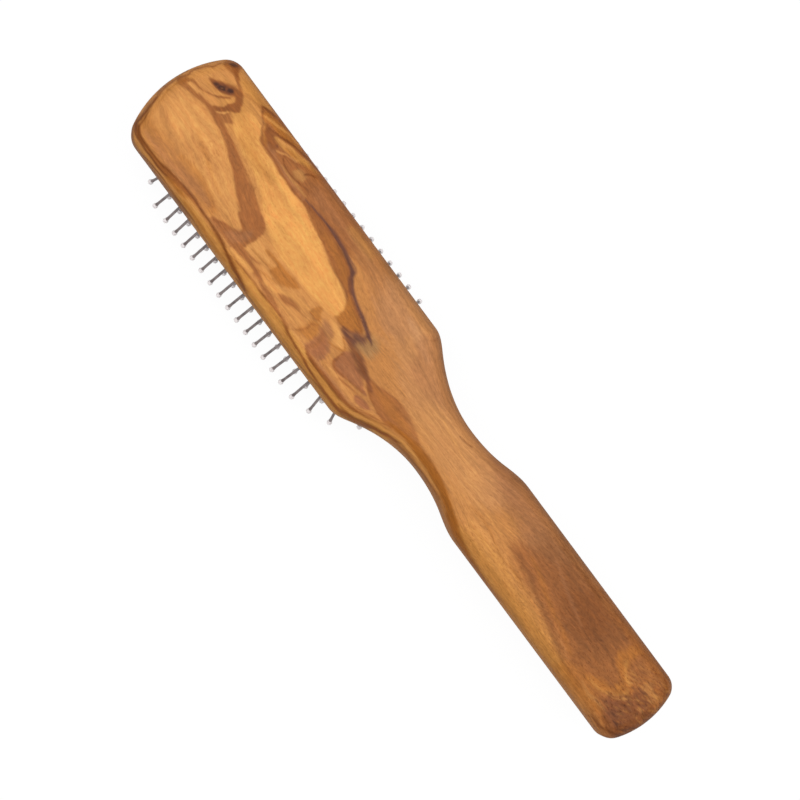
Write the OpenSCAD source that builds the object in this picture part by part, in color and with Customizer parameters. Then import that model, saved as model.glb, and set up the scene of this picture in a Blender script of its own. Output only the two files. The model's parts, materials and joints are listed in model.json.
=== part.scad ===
// Wooden brush with an air cushion of rubber and a fan of ball-tipped steel pins.
// It lies with its pins down, +X runs from the head to the handle, and z = 0 is at the lowest pin tips.

/* [Wooden body] */
// Length from the end of the head to the end of the handle
body_l = 225; // [205:1:250]
// Thickness of the wood, from its back to its pin side
body_t = 12.5; // [11.5:0.1:16]
// Width of the head between its straight sides
head_w = 37.5; // [37:0.1:44]
// Distance from the end of the head to where its sides turn in
head_l = 100; // [97:0.5:106]
// Radius of the bowed end of the head
head_bow_r = 33; // [24:0.5:60]
// Radius of the corners of the head's end
head_corner_r = 6.2; // [5.2:0.1:10]
// Width of the neck at its narrowest
neck_w = 18.8; // [15:0.1:24]
// Distance from the end of the head to the narrowest place
neck_x = 129; // [120:0.5:136]
// Sideways fall of the shoulder for each millimetre of length, at its steepest
shoulder_slope = 0.6; // [0.3:0.02:0.8]
// Length over which the shoulder gets to its steepest
shoulder_turn = 6.5; // [5:0.1:12]
// Width of the handle between its straight sides
handle_w = 25.8; // [25:0.1:32]
// Distance from the end of the head to where the handle has its full width
grip_x = 151.5; // [146:0.5:165]
// Sideways rise of the handle's shoulder for each millimetre of length, at its steepest
grip_slope = 0.29; // [0.2:0.01:0.4]
// Length over which the handle's shoulder levels out
grip_turn = 9; // [6:0.5:11]
// Radius of the bowed end of the handle
handle_bow_r = 27; // [18:0.5:60]
// Radius of the corners of the handle's end
handle_corner_r = 5.2; // [5:0.1:9]
// How far the round of the back edge reaches in from the side
back_round_in = 4.4; // [2:0.1:4.8]
// How far the round of the back edge reaches down the side
back_round_down = 6; // [2:0.1:7]
// How far the round of the pin-side edge reaches in from the side
pin_side_round_in = 1.9; // [0.8:0.1:2.2]
// How far the round of the pin-side edge reaches up the side
pin_side_round_up = 2.6; // [0.8:0.1:3.2]

/* [Pocket] */
// Depth of the pocket that is milled into the pin side
pocket_depth = 6; // [5:0.1:8]
// Thickness of the wooden lip that holds the cushion in
lip_t = 1.8; // [1.2:0.1:2.2]
// Height of the groove above the lip
groove_h = 1.6; // [1:0.1:2.2]
// Depth of the groove into the side of the pocket
groove_in = 1; // [0.6:0.1:1.2]

/* [Cushion] */
// Distance from the end of the head to the middle column of pins
cushion_x = 59.6; // [57:0.1:61.5]
// Width of the opening that the cushion fills
opening_w = 32; // [31.6:0.1:32.6]
// Length of the opening from the middle column towards the neck
opening_to_neck = 48.9; // [48.6:0.1:51]
// Length of the opening from the middle column towards the far end
opening_to_end = 52.5; // [52.4:0.1:53.5]
// Radius of the opening at its two noses
opening_nose_r = 13; // [12.5:0.1:15]
// Radius of the opening between its noses and its straight sides
opening_flank_r = 18; // [17:0.5:24]
// Radius of the cushion's crown across the brush
crown_r = 25.7; // [25:0.1:27]
// Height of the crown below the wood
crown_h = 5.4; // [4.8:0.1:6]
// Thickness of the rubber
rubber_t = 1.6; // [1:0.1:1.8]
// Distance from the middle column to where the crown starts to fall towards the neck
neck_fall_x = 28.7; // [26:0.1:31]
// Radius of that fall
neck_fall_r = 39.7; // [36:0.1:50]
// Distance from the middle column to where the crown starts to fall towards the far end
end_fall_x = 33.5; // [31:0.1:35]
// Radius of that fall
end_fall_r = 36; // [33:0.1:50]
// Gap between the rubber and the wood around it
rubber_gap = 0.1; // [0.05:0.01:0.2]
// Diameter of the vent hole
vent_d = 1.2; // [0.8:0.1:1.6]

/* [Pins] */
// Length of a pin outside the rubber, with its ball
pin_out = 17.6; // [12:0.1:22]
// Diameter of a pin's shaft
pin_d = 0.86; // [0.6:0.02:1.1]
// Diameter of the ball at a pin's tip
ball_d = 1.6; // [1.4:0.05:2.2]
// Diameter of the shaft where it flares into the ball
flare_d = 1.15; // [1.12:0.01:1.3]
// Length of the flare
flare_l = 1.6; // [0.8:0.1:3]
// Diameter of the flat head inside the cushion
pin_head_d = 2.1; // [1.6:0.05:2.4]
// Thickness of that head
pin_head_t = 0.35; // [0.2:0.05:0.6]
// Gap around a shaft in its hole
hole_gap = 0.02; // [0.01:0.01:0.05]
// Gap between a head and the rubber at its middle
head_gap = 0.05; // [0.05:0.01:0.15]
// Distance between columns of pins along the brush
column_pitch = 4.4; // [4.2:0.02:4.4]
// Columns from the middle one to the neck
columns_to_neck = 10; // [8:1:10]
// Columns from the middle one to the far end
columns_to_end = 11; // [9:1:11]
// Pins in a full column
column_pins = 9; // [5:2:9]
// Angle between the pins of the middle column
fan_angle = 8.1; // [6:0.1:8.1]
// Growth of that angle from one column to the next, towards the neck
fan_growth = 0.04; // [0:0.01:0.04]

/* [Hidden] */
// Pins in the last columns at each end, from the outermost one in, and the angle between them
neck_columns = [[5, 9.8], [7, 9.4], [9, 7.9]];
end_columns = [[5, 7.2], [7, 7.2], [7, 8.9]];

// Heights of the crown, the wood and the line that the pins fan out from
pin_side_z = pin_out + crown_h;
back_z = pin_side_z + body_t;
fan_z = pin_out + crown_r;

// The brush is centred on its own length
head_end_x = -body_l / 2;
middle_x = head_end_x + cushion_x;

// Segments of a short curve, of a bend in the outline and of an edge round
bow_steps = 6;
corner_steps = 7;
bend_steps = 6;
round_steps = 6;

$fn = 48;
pin_fn = 24;
eps = 0.01;
past = 2;

function row_name(c) = str("pin_row_", c < 10 ? "0" : "", c);

// Half of a rounded end, from its tip on the centre line to the start of the straight side.
// Points are [distance from the tip, half width]: a bow, then a flank or corner that meets it smoothly.
function end_sweep(half_w, bow_r, side_r) = asin((half_w - side_r) / (bow_r - side_r));
function end_length(half_w, bow_r, side_r) =
    bow_r - (bow_r - side_r) * cos(end_sweep(half_w, bow_r, side_r));
function end_half(half_w, bow_r, side_r) =
    let (sweep = end_sweep(half_w, bow_r, side_r), length = end_length(half_w, bow_r, side_r))
    concat(
        [for (i = [0 : bow_steps - 1]) let (a = sweep * i / bow_steps)
            [bow_r - bow_r * cos(a), bow_r * sin(a)]],
        [for (i = [0 : corner_steps]) let (a = sweep + (90 - sweep) * i / corner_steps)
            [length - side_r * cos(a), half_w - side_r + side_r * sin(a)]]);

// Points between two stations [distance, half width, slope] on a smooth cubic, without the first one
function bend(a, b, steps) = let (l = b[0] - a[0])
    [for (i = [1 : steps]) let (t = i / steps, s = 1 - t)
        [a[0] + l * t,
         (1 + 2 * t) * s * s * a[1] + (1 + 2 * s) * t * t * b[1] + l * t * s * (s * a[2] - t * b[2])]];

// Half of the wooden outline, from the tip of the head to the tip of the handle
shoulder = [head_l + shoulder_turn,
    head_w / 2 - shoulder_slope * shoulder_turn * 0.65, -shoulder_slope];
waist = [neck_x, neck_w / 2, 0];
grip_shoulder = [grip_x - grip_turn, (neck_w + handle_w) / 4, grip_slope];
grip = [grip_x, handle_w / 2, 0];
head_half = end_half(head_w / 2, head_bow_r, head_corner_r);
handle_half = end_half(handle_w / 2, handle_bow_r, handle_corner_r);
body_half = concat(
    head_half,
    [[head_l, head_w / 2]],
    bend([head_l, head_w / 2, 0], shoulder, bend_steps),
    bend(shoulder, waist, bend_steps + 3),
    bend(waist, grip_shoulder, bend_steps),
    bend(grip_shoulder, grip, bend_steps),
    [for (i = [len(handle_half) - 1 : -1 : 0]) [body_l - handle_half[i][0], handle_half[i][1]]]);

// A whole closed outline from its half: out along one side and back along the other
function both_sides(half) = concat(
    half,
    [for (i = [len(half) - 2 : -1 : 1]) [half[i][0], -half[i][1]]]);

// Each point of a closed outline moved inwards, square to its neighbours
function moved_in(points, d) = let (n = len(points))
    [for (i = [0 : n - 1])
        let (along = points[(i + 1) % n] - points[(i + n - 1) % n])
        points[i] + d / norm(along) * [along[1], -along[0]]];

// Rings of the wooden body as [inset, height]: the pin-side round, the side and the back round.
// The first and the last one stand past the flat faces, which are cut from them.
body_rings = concat(
    [[pin_side_round_in, pin_side_z - past]],
    [for (i = [0 : round_steps]) let (a = 90 * i / round_steps)
        [pin_side_round_in * (1 - sin(a)), pin_side_z + pin_side_round_up * (1 - cos(a))]],
    [for (i = [0 : round_steps]) let (a = 90 * i / round_steps)
        [back_round_in * (1 - cos(a)), back_z - back_round_down * (1 - sin(a))]],
    [[back_round_in, back_z + past]]);

// A solid skinned over stacked copies of one closed outline
module stacked(outline, rings) {
    n = len(outline);
    last = len(rings) - 1;
    polyhedron(
        points = [for (ring = rings) for (p = moved_in(outline, ring[0])) [p[0], p[1], ring[1]]],
        faces = concat(
            [[for (i = [0 : n - 1]) i]],
            [for (k = [0 : last - 1]) for (i = [0 : n - 1]) for (half = [0, 1])
                let (a = k * n + i, b = k * n + (i + 1) % n)
                half == 0 ? [a, a + n, b + n] : [a, b + n, b]],
            [[for (i = [n - 1 : -1 : 0]) last * n + i]]));
}

// Flat outline of the cushion's opening, made smaller all round by the given amount
module opening(smaller = 0) {
    half_w = opening_w / 2 - smaller;
    nose_r = opening_nose_r - smaller;
    flank_r = opening_flank_r - smaller;
    to_neck = opening_to_neck - smaller;
    to_end = opening_to_end - smaller;
    nose = end_half(half_w, nose_r, flank_r);
    polygon(both_sides(concat(
        [for (p = nose) [p[0] - to_end, p[1]]],
        [for (i = [len(nose) - 1 : -1 : 0]) [to_neck - nose[i][0], nose[i][1]]])));
}

module opening_prism(smaller, from_z, to_z)
    translate([middle_x, 0, from_z]) linear_extrude(to_z - from_z) opening(smaller);

// Everything inside the crown's surface, which turns about the line that the pins fan out from
module inside_crown(r) {
    inner = crown_r - r;
    translate([middle_x, 0, fan_z]) rotate([0, 90, 0]) rotate_extrude()
        intersection() {
            translate([0, -opening_to_end - past]) square([r, opening_to_end + opening_to_neck + 2 * past]);
            union() {
                translate([0, -end_fall_x]) square([r, end_fall_x + neck_fall_x]);
                translate([crown_r - neck_fall_r, neck_fall_x]) circle(neck_fall_r - inner, $fn = 144);
                translate([crown_r - end_fall_r, -end_fall_x]) circle(end_fall_r - inner, $fn = 144);
            }
        }
}

// How far the crown has fallen, and how far it leans, at a distance from the middle column
function crown_lean(x) =
    x > neck_fall_x ? asin((x - neck_fall_x) / neck_fall_r) :
    x < -end_fall_x ? -asin((-x - end_fall_x) / end_fall_r) : 0;
function crown_fall(x) = (x > 0 ? neck_fall_r : end_fall_r) * (1 - cos(crown_lean(x)));

// Moves its children to a place on the crown, with their z axis square to the rubber and pointing in
module on_crown(x, fan)
    translate([middle_x + x, 0, fan_z])
        rotate([fan, 0, 0])
            translate([0, 0, crown_fall(x) - crown_r])
                rotate([0, crown_lean(x) == 0 ? 0 : -crown_lean(x), 0])
                    children();

// Pins of a column and the angle between them, with narrower columns near the two ends of the cushion
function column_of(i) =
    let (from_neck = columns_to_neck - i, from_end = columns_to_end + i)
    from_neck < len(neck_columns) ? neck_columns[from_neck] :
    from_end < len(end_columns) ? end_columns[from_end] :
    [column_pins, fan_angle + fan_growth * i];

module at_column(i) {
    pins = min(column_of(i)[0], column_pins);
    for (j = [0 : pins - 1])
        on_crown(i * column_pitch, (j - (pins - 1) / 2) * column_of(i)[1]) children();
}

// One-piece steel pin: flat head, shaft, flare and ball, with the rubber's outer face at its z = 0
module pin() {
    ball_z = ball_d / 2 - pin_out;
    flare_z = ball_z + sqrt(ball_d * ball_d - flare_d * flare_d) / 2;
    head_z = rubber_t + head_gap;
    rotate_extrude($fn = pin_fn) {
        translate([0, flare_z + flare_l - eps]) square([pin_d / 2, head_z - flare_z - flare_l + 2 * eps]);
        translate([0, head_z]) square([pin_head_d / 2, pin_head_t]);
        polygon([[0, flare_z - eps], [flare_d / 2, flare_z], [pin_d / 2, flare_z + flare_l], [0, flare_z + flare_l]]);
        intersection() {
            translate([0, ball_z]) circle(ball_d / 2, $fn = pin_fn);
            translate([0, -pin_out]) square([ball_d, ball_d]);
        }
    }
}

module wooden_body() color("peru") difference() {
    intersection() {
        translate([head_end_x, 0, 0]) stacked(both_sides(body_half), body_rings);
        translate([head_end_x - past, -head_w, pin_side_z]) cube([body_l + 2 * past, 2 * head_w, body_t]);
    }
    opening_prism(0, pin_side_z - past, pin_side_z + pocket_depth);
    opening_prism(-groove_in, pin_side_z + lip_t, pin_side_z + lip_t + groove_h);
}

module rubber_cushion() color("#2b2a2c") difference() {
    flange_from = pin_side_z + lip_t + rubber_gap;
    flange_to = pin_side_z + lip_t + groove_h - rubber_gap;
    union() {
        intersection() {
            opening_prism(rubber_gap, pin_out - past, flange_to);
            inside_crown(crown_r);
        }
        opening_prism(rubber_gap - groove_in, flange_from, flange_to);
    }
    intersection() {
        opening_prism(rubber_gap + rubber_t, pin_out - past, flange_to + past);
        inside_crown(crown_r - rubber_t);
    }
    for (i = [-columns_to_end : columns_to_neck])
        at_column(i) cylinder(d = pin_d + 2 * hole_gap, h = 2 * (rubber_t + past), center = true, $fn = pin_fn);
    on_crown((columns_to_neck - 0.5) * column_pitch, 0)
        cylinder(d = vent_d, h = 2 * (rubber_t + past), center = true, $fn = pin_fn);
}

module pin_row(i) color("gainsboro") at_column(i) pin();

wooden_body();
rubber_cushion();
for (i = [-columns_to_end : columns_to_neck])
    pin_row(i);
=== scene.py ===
import json
import math

import bmesh
import bpy
import numpy as np
from mathutils import Matrix, Vector, kdtree
from mathutils.geometry import delaunay_2d_cdt

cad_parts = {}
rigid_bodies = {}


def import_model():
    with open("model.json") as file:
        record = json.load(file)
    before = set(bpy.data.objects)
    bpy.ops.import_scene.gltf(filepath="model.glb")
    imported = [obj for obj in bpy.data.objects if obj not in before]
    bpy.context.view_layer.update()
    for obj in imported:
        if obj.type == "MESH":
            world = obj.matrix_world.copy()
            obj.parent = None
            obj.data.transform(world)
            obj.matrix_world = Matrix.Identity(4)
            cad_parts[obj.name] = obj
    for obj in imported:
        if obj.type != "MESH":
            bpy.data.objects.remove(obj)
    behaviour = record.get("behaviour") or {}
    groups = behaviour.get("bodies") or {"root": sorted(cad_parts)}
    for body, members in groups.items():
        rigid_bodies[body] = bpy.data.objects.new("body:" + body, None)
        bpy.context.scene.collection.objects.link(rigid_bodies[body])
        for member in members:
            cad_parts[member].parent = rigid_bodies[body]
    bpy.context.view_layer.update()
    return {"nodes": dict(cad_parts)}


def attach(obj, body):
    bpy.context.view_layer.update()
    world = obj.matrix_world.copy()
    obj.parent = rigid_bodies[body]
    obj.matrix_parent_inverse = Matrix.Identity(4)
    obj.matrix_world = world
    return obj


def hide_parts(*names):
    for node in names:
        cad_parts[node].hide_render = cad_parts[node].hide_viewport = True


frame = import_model()
print("frame loaded:", len(frame["nodes"]), "nodes")

mm = 0.001  # in metres
tiny = 1e-12  # keeps a division from failing
noiseSpan = (0.3, 0.7)  # where most values of a noise lie


def linear(tone):
    c = np.array(tone, float) / 255
    return np.where(c < 0.04045, c / 12.92, ((c + 0.055) / 1.055) ** 2.4)


def shade(tone):
    return (*[float(c) for c in linear(tone)], 1.0)


def smoothStep(low, high, x):
    t = np.clip((x - low) / (high - low), 0, 1)
    return t * t * (3 - 2 * t)


def newMaterial(name):
    material = bpy.data.materials.new(name)
    material.use_nodes = True
    tree = material.node_tree
    return material, tree, tree.nodes["Principled BSDF"]


def addNode(tree, kind, inputs=(), **settings):
    # a node with its settings, and for each input a value or the socket that feeds it
    node = tree.nodes.new("ShaderNode" + kind)
    for key, value in settings.items():
        setattr(node, key, value)
    for key, value in dict(inputs).items():
        socket = node.inputs[key]
        if isinstance(value, bpy.types.NodeSocket):
            tree.links.new(value, socket)
        else:
            socket.default_value = value
    return node


def noiseOf(tree, vector, scale, detail=2.0, roughness=0.5):
    # noise in cells of 1 / scale along each axis
    stretched = addNode(tree, "VectorMath", {0: vector, 1: scale}, operation="MULTIPLY")
    inputs = {"Vector": stretched.outputs[0], "Scale": 1.0, "Detail": detail, "Roughness": roughness}
    return addNode(tree, "TexNoise", inputs).outputs["Fac"]


def spread(tree, value, low, high, toLow=0.0, toHigh=1.0):
    ends = {"From Min": low, "From Max": high, "To Min": toLow, "To Max": toHigh}
    return addNode(tree, "MapRange", {"Value": value, **ends}).outputs["Result"]


def calculated(tree, operation, a, b=0.0):
    return addNode(tree, "Math", {0: a, 1: b}, operation=operation).outputs[0]


def between(tree, share, a, b):
    # inputs 2 and 3 are the two numbers of a number mix
    return addNode(tree, "Mix", {0: share, 2: a, 3: b}, data_type="FLOAT").outputs[0]


def mixed(tree, kind, share, a, b):
    # inputs 6 and 7 are the two colours of a colour mix
    return addNode(tree, "Mix", {0: share, 6: a, 7: b}, data_type="RGBA", blend_type=kind).outputs[2]


def addBump(tree, bsdf, strength, depth, height):
    bump = addNode(tree, "Bump", {"Strength": strength, "Distance": depth, "Height": height})
    tree.links.new(bump.outputs["Normal"], bsdf.inputs["Normal"])


# The camera looks down on the brush's back, from the place that the photograph gives.
camera = {
    "aim": (-2.70, -2.42, 35.5),  # point of the back that the middle of the picture shows
    "distance": 610.7,
    "leanAlong": -2.378,  # degrees off square, along the brush
    "leanAcross": 7.960,  # and across it
    "roll": 53.377,
    "focal": 2191.0,  # in pixels of a picture of this width
    "pictureWidth": 800,
    "sensor": 36.0,
    "clip": (0.01, 20),  # in metres
}


def makeCamera():
    leanAlong, leanAcross, roll = [math.radians(camera[key]) for key in ("leanAlong", "leanAcross", "roll")]
    back = Vector((math.tan(leanAlong), -math.tan(leanAcross), 1)).normalized()
    along = (Vector((1, 0, 0)) - back * back.x).normalized()
    across = back.cross(along)
    right = along * math.cos(roll) + across * math.sin(roll)
    up = across * math.cos(roll) - along * math.sin(roll)
    place = (Vector(camera["aim"]) + back * camera["distance"]) * mm
    data = bpy.data.cameras.new("camera")
    data.sensor_width = camera["sensor"]
    data.lens = camera["focal"] * camera["sensor"] / camera["pictureWidth"]
    data.clip_start, data.clip_end = camera["clip"]
    eye = bpy.data.objects.new("camera", data)
    eye.matrix_world = Matrix((
        (right.x, up.x, back.x, place.x),
        (right.y, up.y, back.y, place.y),
        (right.z, up.z, back.z, place.z),
        (0, 0, 0, 1)))
    bpy.context.scene.collection.objects.link(eye)
    bpy.context.scene.camera = eye


makeCamera()
print("camera placed")

# The wooden body, with the outline and rounds of the CAD body in finer steps. Lengths in mm.
body = {
    "length": 225.0,
    "thickness": 12.5,
    "pinSide": 23.0,  # height of the pin side above the floor
    "headWidth": 37.5, "headLength": 100.0, "headBow": 33.0, "headCorner": 6.2,
    "neckWidth": 18.8, "neckAt": 129.0,
    "shoulderSlope": 0.6, "shoulderTurn": 6.5, "shoulderDrop": 0.65,
    "handleWidth": 25.8, "handleBow": 27.0, "handleCorner": 5.2,
    "gripAt": 151.5, "gripSlope": 0.29, "gripTurn": 9.0,
    "backRound": (4.4, 6.0),  # in from the side, and down it
    "pinSideRound": (1.9, 2.6),
    "outlineStep": 0.46, "backStep": 0.33, "pinSideStep": 1.1,
    "backRings": 20, "sideRings": 5, "pinSideRings": 6,
}

# The opening for the cushion, its pocket in the wood and the groove that holds the rubber
pocket = {
    "middle": 59.6,  # of the pins, from the end of the head
    "width": 32.0, "toNeck": 48.9, "toEnd": 52.5, "nose": 13.0, "flank": 18.0,
    "depth": 6.0, "lip": 1.8, "groove": 1.6, "grooveIn": 1.0, "edgeRound": 0.3,
    "step": 0.7, "edgeSteps": 3, "floorStep": 2.75,
}

# How a flat face is filled: rows and gaps are parts of its step
filling = {"rowHeight": 0.866, "clearOfRim": 0.6, "weld": 1e-6}


def endHalf(halfWidth, bow, side, step):
    # half of a rounded end: [distance from its tip, half width]
    sweep = math.asin((halfWidth - side) / (bow - side))
    length = bow - (bow - side) * math.cos(sweep)
    a = np.linspace(0, sweep, max(3, round(bow * sweep / step)) + 1)[:-1]
    b = np.linspace(sweep, math.pi / 2, max(3, round(side * (math.pi / 2 - sweep) / step)) + 1)
    return np.vstack([
        np.column_stack([bow - bow * np.cos(a), bow * np.sin(a)]),
        np.column_stack([length - side * np.cos(b), halfWidth - side + side * np.sin(b)])])


def bend(a, b, step):
    # smooth cubic between two stations [distance, half width, slope], without the first
    length = b[0] - a[0]
    t = np.linspace(0, 1, round(math.hypot(length, b[1] - a[1]) / step) + 1)[1:]
    s = 1 - t
    return np.column_stack([
        a[0] + length * t,
        (1 + 2 * t) * s * s * a[1] + (1 + 2 * s) * t * t * b[1] + length * t * s * (s * a[2] - t * b[2])])


def bothSides(half):
    back = half[-2:0:-1].copy()
    back[:, 1] *= -1
    return np.vstack([half, back])


def movedIn(outline, inset):
    along = np.roll(outline, -1, 0) - np.roll(outline, 1, 0)
    along /= np.linalg.norm(along, axis=1)[:, None]
    return outline + inset * np.column_stack([along[:, 1], -along[:, 0]])


def bodyOutline(step):
    headHalf, neckHalf, handleHalf = body["headWidth"] / 2, body["neckWidth"] / 2, body["handleWidth"] / 2
    turn = body["shoulderTurn"]
    slope = body["shoulderSlope"]
    shoulder = [body["headLength"] + turn, headHalf - slope * turn * body["shoulderDrop"], -slope]
    waist = [body["neckAt"], neckHalf, 0]
    gripShoulder = [body["gripAt"] - body["gripTurn"], (neckHalf + handleHalf) / 2, body["gripSlope"]]
    grip = [body["gripAt"], handleHalf, 0]
    head = endHalf(headHalf, body["headBow"], body["headCorner"], step)
    handle = endHalf(handleHalf, body["handleBow"], body["handleCorner"], step)
    handle = np.column_stack([body["length"] - handle[:, 0], handle[:, 1]])[::-1]
    return bothSides(np.vstack([
        head,
        bend([*head[-1], 0], [body["headLength"], headHalf, 0], step),
        bend([body["headLength"], headHalf, 0], shoulder, step),
        bend(shoulder, waist, step),
        bend(waist, gripShoulder, step),
        bend(gripShoulder, grip, step),
        bend(grip, [*handle[0], 0], step)[:-1],
        handle]))


def openingOutline(smaller, step):
    nose = endHalf(pocket["width"] / 2 - smaller, pocket["nose"] - smaller, pocket["flank"] - smaller, step)
    toEnd, toNeck = pocket["toEnd"] - smaller, pocket["toNeck"] - smaller
    farNose = nose + [pocket["middle"] - toEnd, 0]
    neckNose = np.column_stack([pocket["middle"] + toNeck - nose[:, 0], nose[:, 1]])[::-1]
    flank = np.linspace(farNose[-1], neckNose[0], round((neckNose[0][0] - farNose[-1][0]) / step) + 1)[1:-1]
    return bothSides(np.vstack([farNose, flank, neckNose]))


def insideOutline(outline, points):
    inside = np.zeros(len(points), bool)
    for a, b in zip(outline, np.roll(outline, -1, 0)):
        crossing = (a[1] > points[:, 1]) != (b[1] > points[:, 1])
        rise = b[1] - a[1] if b[1] != a[1] else tiny
        inside ^= crossing & (points[:, 0] < a[0] + (points[:, 1] - a[1]) * (b[0] - a[0]) / rise)
    return inside


def gapsTo(outline, points):
    # distance of each point from an outline that is given in small steps
    tree = kdtree.KDTree(len(outline))
    for k, p in enumerate(outline):
        tree.insert((p[0], p[1], 0), k)
    tree.balance()
    return np.array([tree.find((p[0], p[1], 0))[2] for p in points])


def fillFlat(outline, hole, step):
    # fills a closed outline, around a hole if there is one, with even triangles: gives extra points, and
    # triangles that count the outline's points first, then the hole's, then the extra ones
    lo, hi = outline.min(0), outline.max(0)
    rows = np.arange(lo[1] + step / 2, hi[1], step * filling["rowHeight"])
    places = np.arange(lo[0], hi[0], step)
    grid = np.array([(x + (k % 2) * step / 2, y) for k, y in enumerate(rows) for x in places])
    loops = [outline] if hole is None else [outline, hole]
    keep = insideOutline(outline, grid)
    if hole is not None:
        keep &= ~insideOutline(hole, grid)
    grid = grid[keep]
    rim = np.vstack(loops)
    grid = grid[gapsTo(rim, grid) > step * filling["clearOfRim"]]
    points = np.vstack([rim, grid])
    edges, first = [], 0
    for loop in loops:
        n = len(loop)
        edges += [(first + i, first + (i + 1) % n) for i in range(n)]
        first += n
    made = delaunay_2d_cdt([Vector(p) for p in points], edges, [], 1, filling["weld"])
    source = [ids[0] for ids in made[3]]
    triangles = np.array([[source[i] for i in f] for f in made[2]])
    if hole is not None:
        triangles = triangles[~insideOutline(hole, points[triangles].mean(1))]
    return grid, triangles.tolist()


def band(a, b, n):
    # quads between two closed rings of n points that start at a and b
    return [(a + i, a + (i + 1) % n, b + (i + 1) % n, b + i) for i in range(n)]


def meshObject(name, points, faces, material, sharpDegrees=50):
    mesh = bpy.data.meshes.new(name)
    mesh.from_pydata([tuple(p) for p in points * mm], [], faces)
    mesh.materials.append(material)
    mesh.validate()
    shell = bmesh.new()
    shell.from_mesh(mesh)
    bmesh.ops.recalc_face_normals(shell, faces=shell.faces)
    shell.to_mesh(mesh)
    shell.free()
    mesh.shade_smooth()
    mesh.set_sharp_from_angle(angle=math.radians(sharpDegrees))
    piece = bpy.data.objects.new(name, mesh)
    bpy.context.scene.collection.objects.link(piece)
    return piece


def bodyRings():
    # how far each ring lies inside the outline, and its height, from the back round to the pin side
    low = body["pinSide"]
    top = low + body["thickness"]
    (backIn, backDown), (footIn, footUp) = body["backRound"], body["pinSideRound"]
    rings = []
    for a in np.linspace(0, math.pi / 2, body["backRings"] + 1):
        rings.append((backIn * (1 - math.sin(a)), top - backDown * (1 - math.cos(a))))
    for z in np.linspace(top - backDown, low + footUp, body["sideRings"] + 1)[1:]:
        rings.append((0, z))
    for a in np.linspace(0, math.pi / 2, body["pinSideRings"] + 1)[1:]:
        rings.append((footIn * (1 - math.cos(a)), low + footUp * (1 - math.sin(a))))
    return rings


def pocketRings():
    # the same for the pocket: a rounded edge, the lip, the groove above it and the wall up to its floor
    low, edge, wide = body["pinSide"], pocket["edgeRound"], -pocket["grooveIn"]
    rings = []
    for a in np.linspace(0, math.pi / 2, pocket["edgeSteps"] + 1):
        rings.append((-edge * (1 - math.sin(a)), low + edge * (1 - math.cos(a))))
    lip, above = low + pocket["lip"], low + pocket["lip"] + pocket["groove"]
    return rings + [(0, lip), (wide, lip), (wide, above), (0, above), (0, low + pocket["depth"])]


def bodyMesh():
    outline, hole = bodyOutline(body["outlineStep"]), openingOutline(0, pocket["step"])
    n, m = len(outline), len(hole)
    rings, profile = bodyRings(), pocketRings()
    points, faces = [], []

    def addRings(ring, places):
        first, size = len(points), len(ring)
        for inset, z in places:
            points.extend([(x, y, z) for x, y in movedIn(ring, inset)])
        for k in range(len(places) - 1):
            faces.extend(band(first + k * size, first + (k + 1) * size, size))
        return first

    def addFlat(loops, starts, z, step, flip):
        # a flat face inside the given loops, whose points start at the given numbers
        extra, triangles = fillFlat(loops[0], loops[1] if len(loops) > 1 else None, step)
        numbers = [start + i for start, loop in zip(starts, loops) for i in range(len(loop))]
        numbers += range(len(points), len(points) + len(extra))
        points.extend([(x, y, z) for x, y in extra])
        faces.extend([[numbers[i] for i in (t[::-1] if flip else t)] for t in triangles])

    addRings(outline, rings)
    backInset, backZ = rings[0]
    addFlat([movedIn(outline, backInset)], [0], backZ, body["backStep"], False)
    holeStart = addRings(hole, profile)
    footRim, holeRim = movedIn(outline, rings[-1][0]), movedIn(hole, profile[0][0])
    footStart = (len(rings) - 1) * n
    addFlat([footRim, holeRim], [footStart, holeStart], body["pinSide"], body["pinSideStep"], True)
    floorInset, floorZ = profile[-1]
    floorStart = holeStart + (len(profile) - 1) * m
    addFlat([movedIn(hole, floorInset)], [floorStart], floorZ, pocket["floorStep"], True)
    return np.array(points), faces


# Lines of growth that the grain follows: the number of the layer, then the line's (u, v) along the brush
growthLines = [
    (-19, [(0, -19), (100, -19), (110, -14.5), (118, -11), (129, -10), (140, -10.6), (150, -13), (225, -12)]),
    (-15, [(0, -12), (9, -16), (30, -14.6), (45, -15.6), (74, -15.2), (90, -15.6), (101, -15.4), (110, -11.6),
     (120, -8.6), (130, -7.8), (140, -8.6), (150, -11.2), (180, -9.5), (225, -6)]),
    (-9, [(0, -5), (20, -8), (45, -10.5), (62, -11), (78, -9.4), (92, -7.6), (108, -7), (125, -4.6), (150, -6),
     (180, -2.5), (225, 3)]),
    (-1, [(0, 2.4), (14, 3.6), (22, 3), (32, 0.6), (47, -4.2), (62, -4.6), (76, -3.8), (90, -1.6), (110, -1.4),
     (140, -0.6), (150, 0.6), (180, 5), (225, 12)]),
    (7, [(0, 6.4), (14, 9.4), (30, 9.6), (52, 9.6), (68, 7.4), (80, 4.4), (90, 2.2), (110, 3.2), (130, 4),
     (140, 5.2), (150, 7.4), (180, 13), (225, 21)]),
    (14, [(0, 14), (20, 14.6), (45, 15), (75, 13.6), (100, 11.4), (118, 7.6), (130, 7), (146, 12), (180, 19),
     (225, 28)]),
    (19, [(0, 19), (100, 19), (110, 14.5), (118, 11), (129, 10), (140, 13), (150, 17), (180, 24), (225, 33)]),
]

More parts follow.
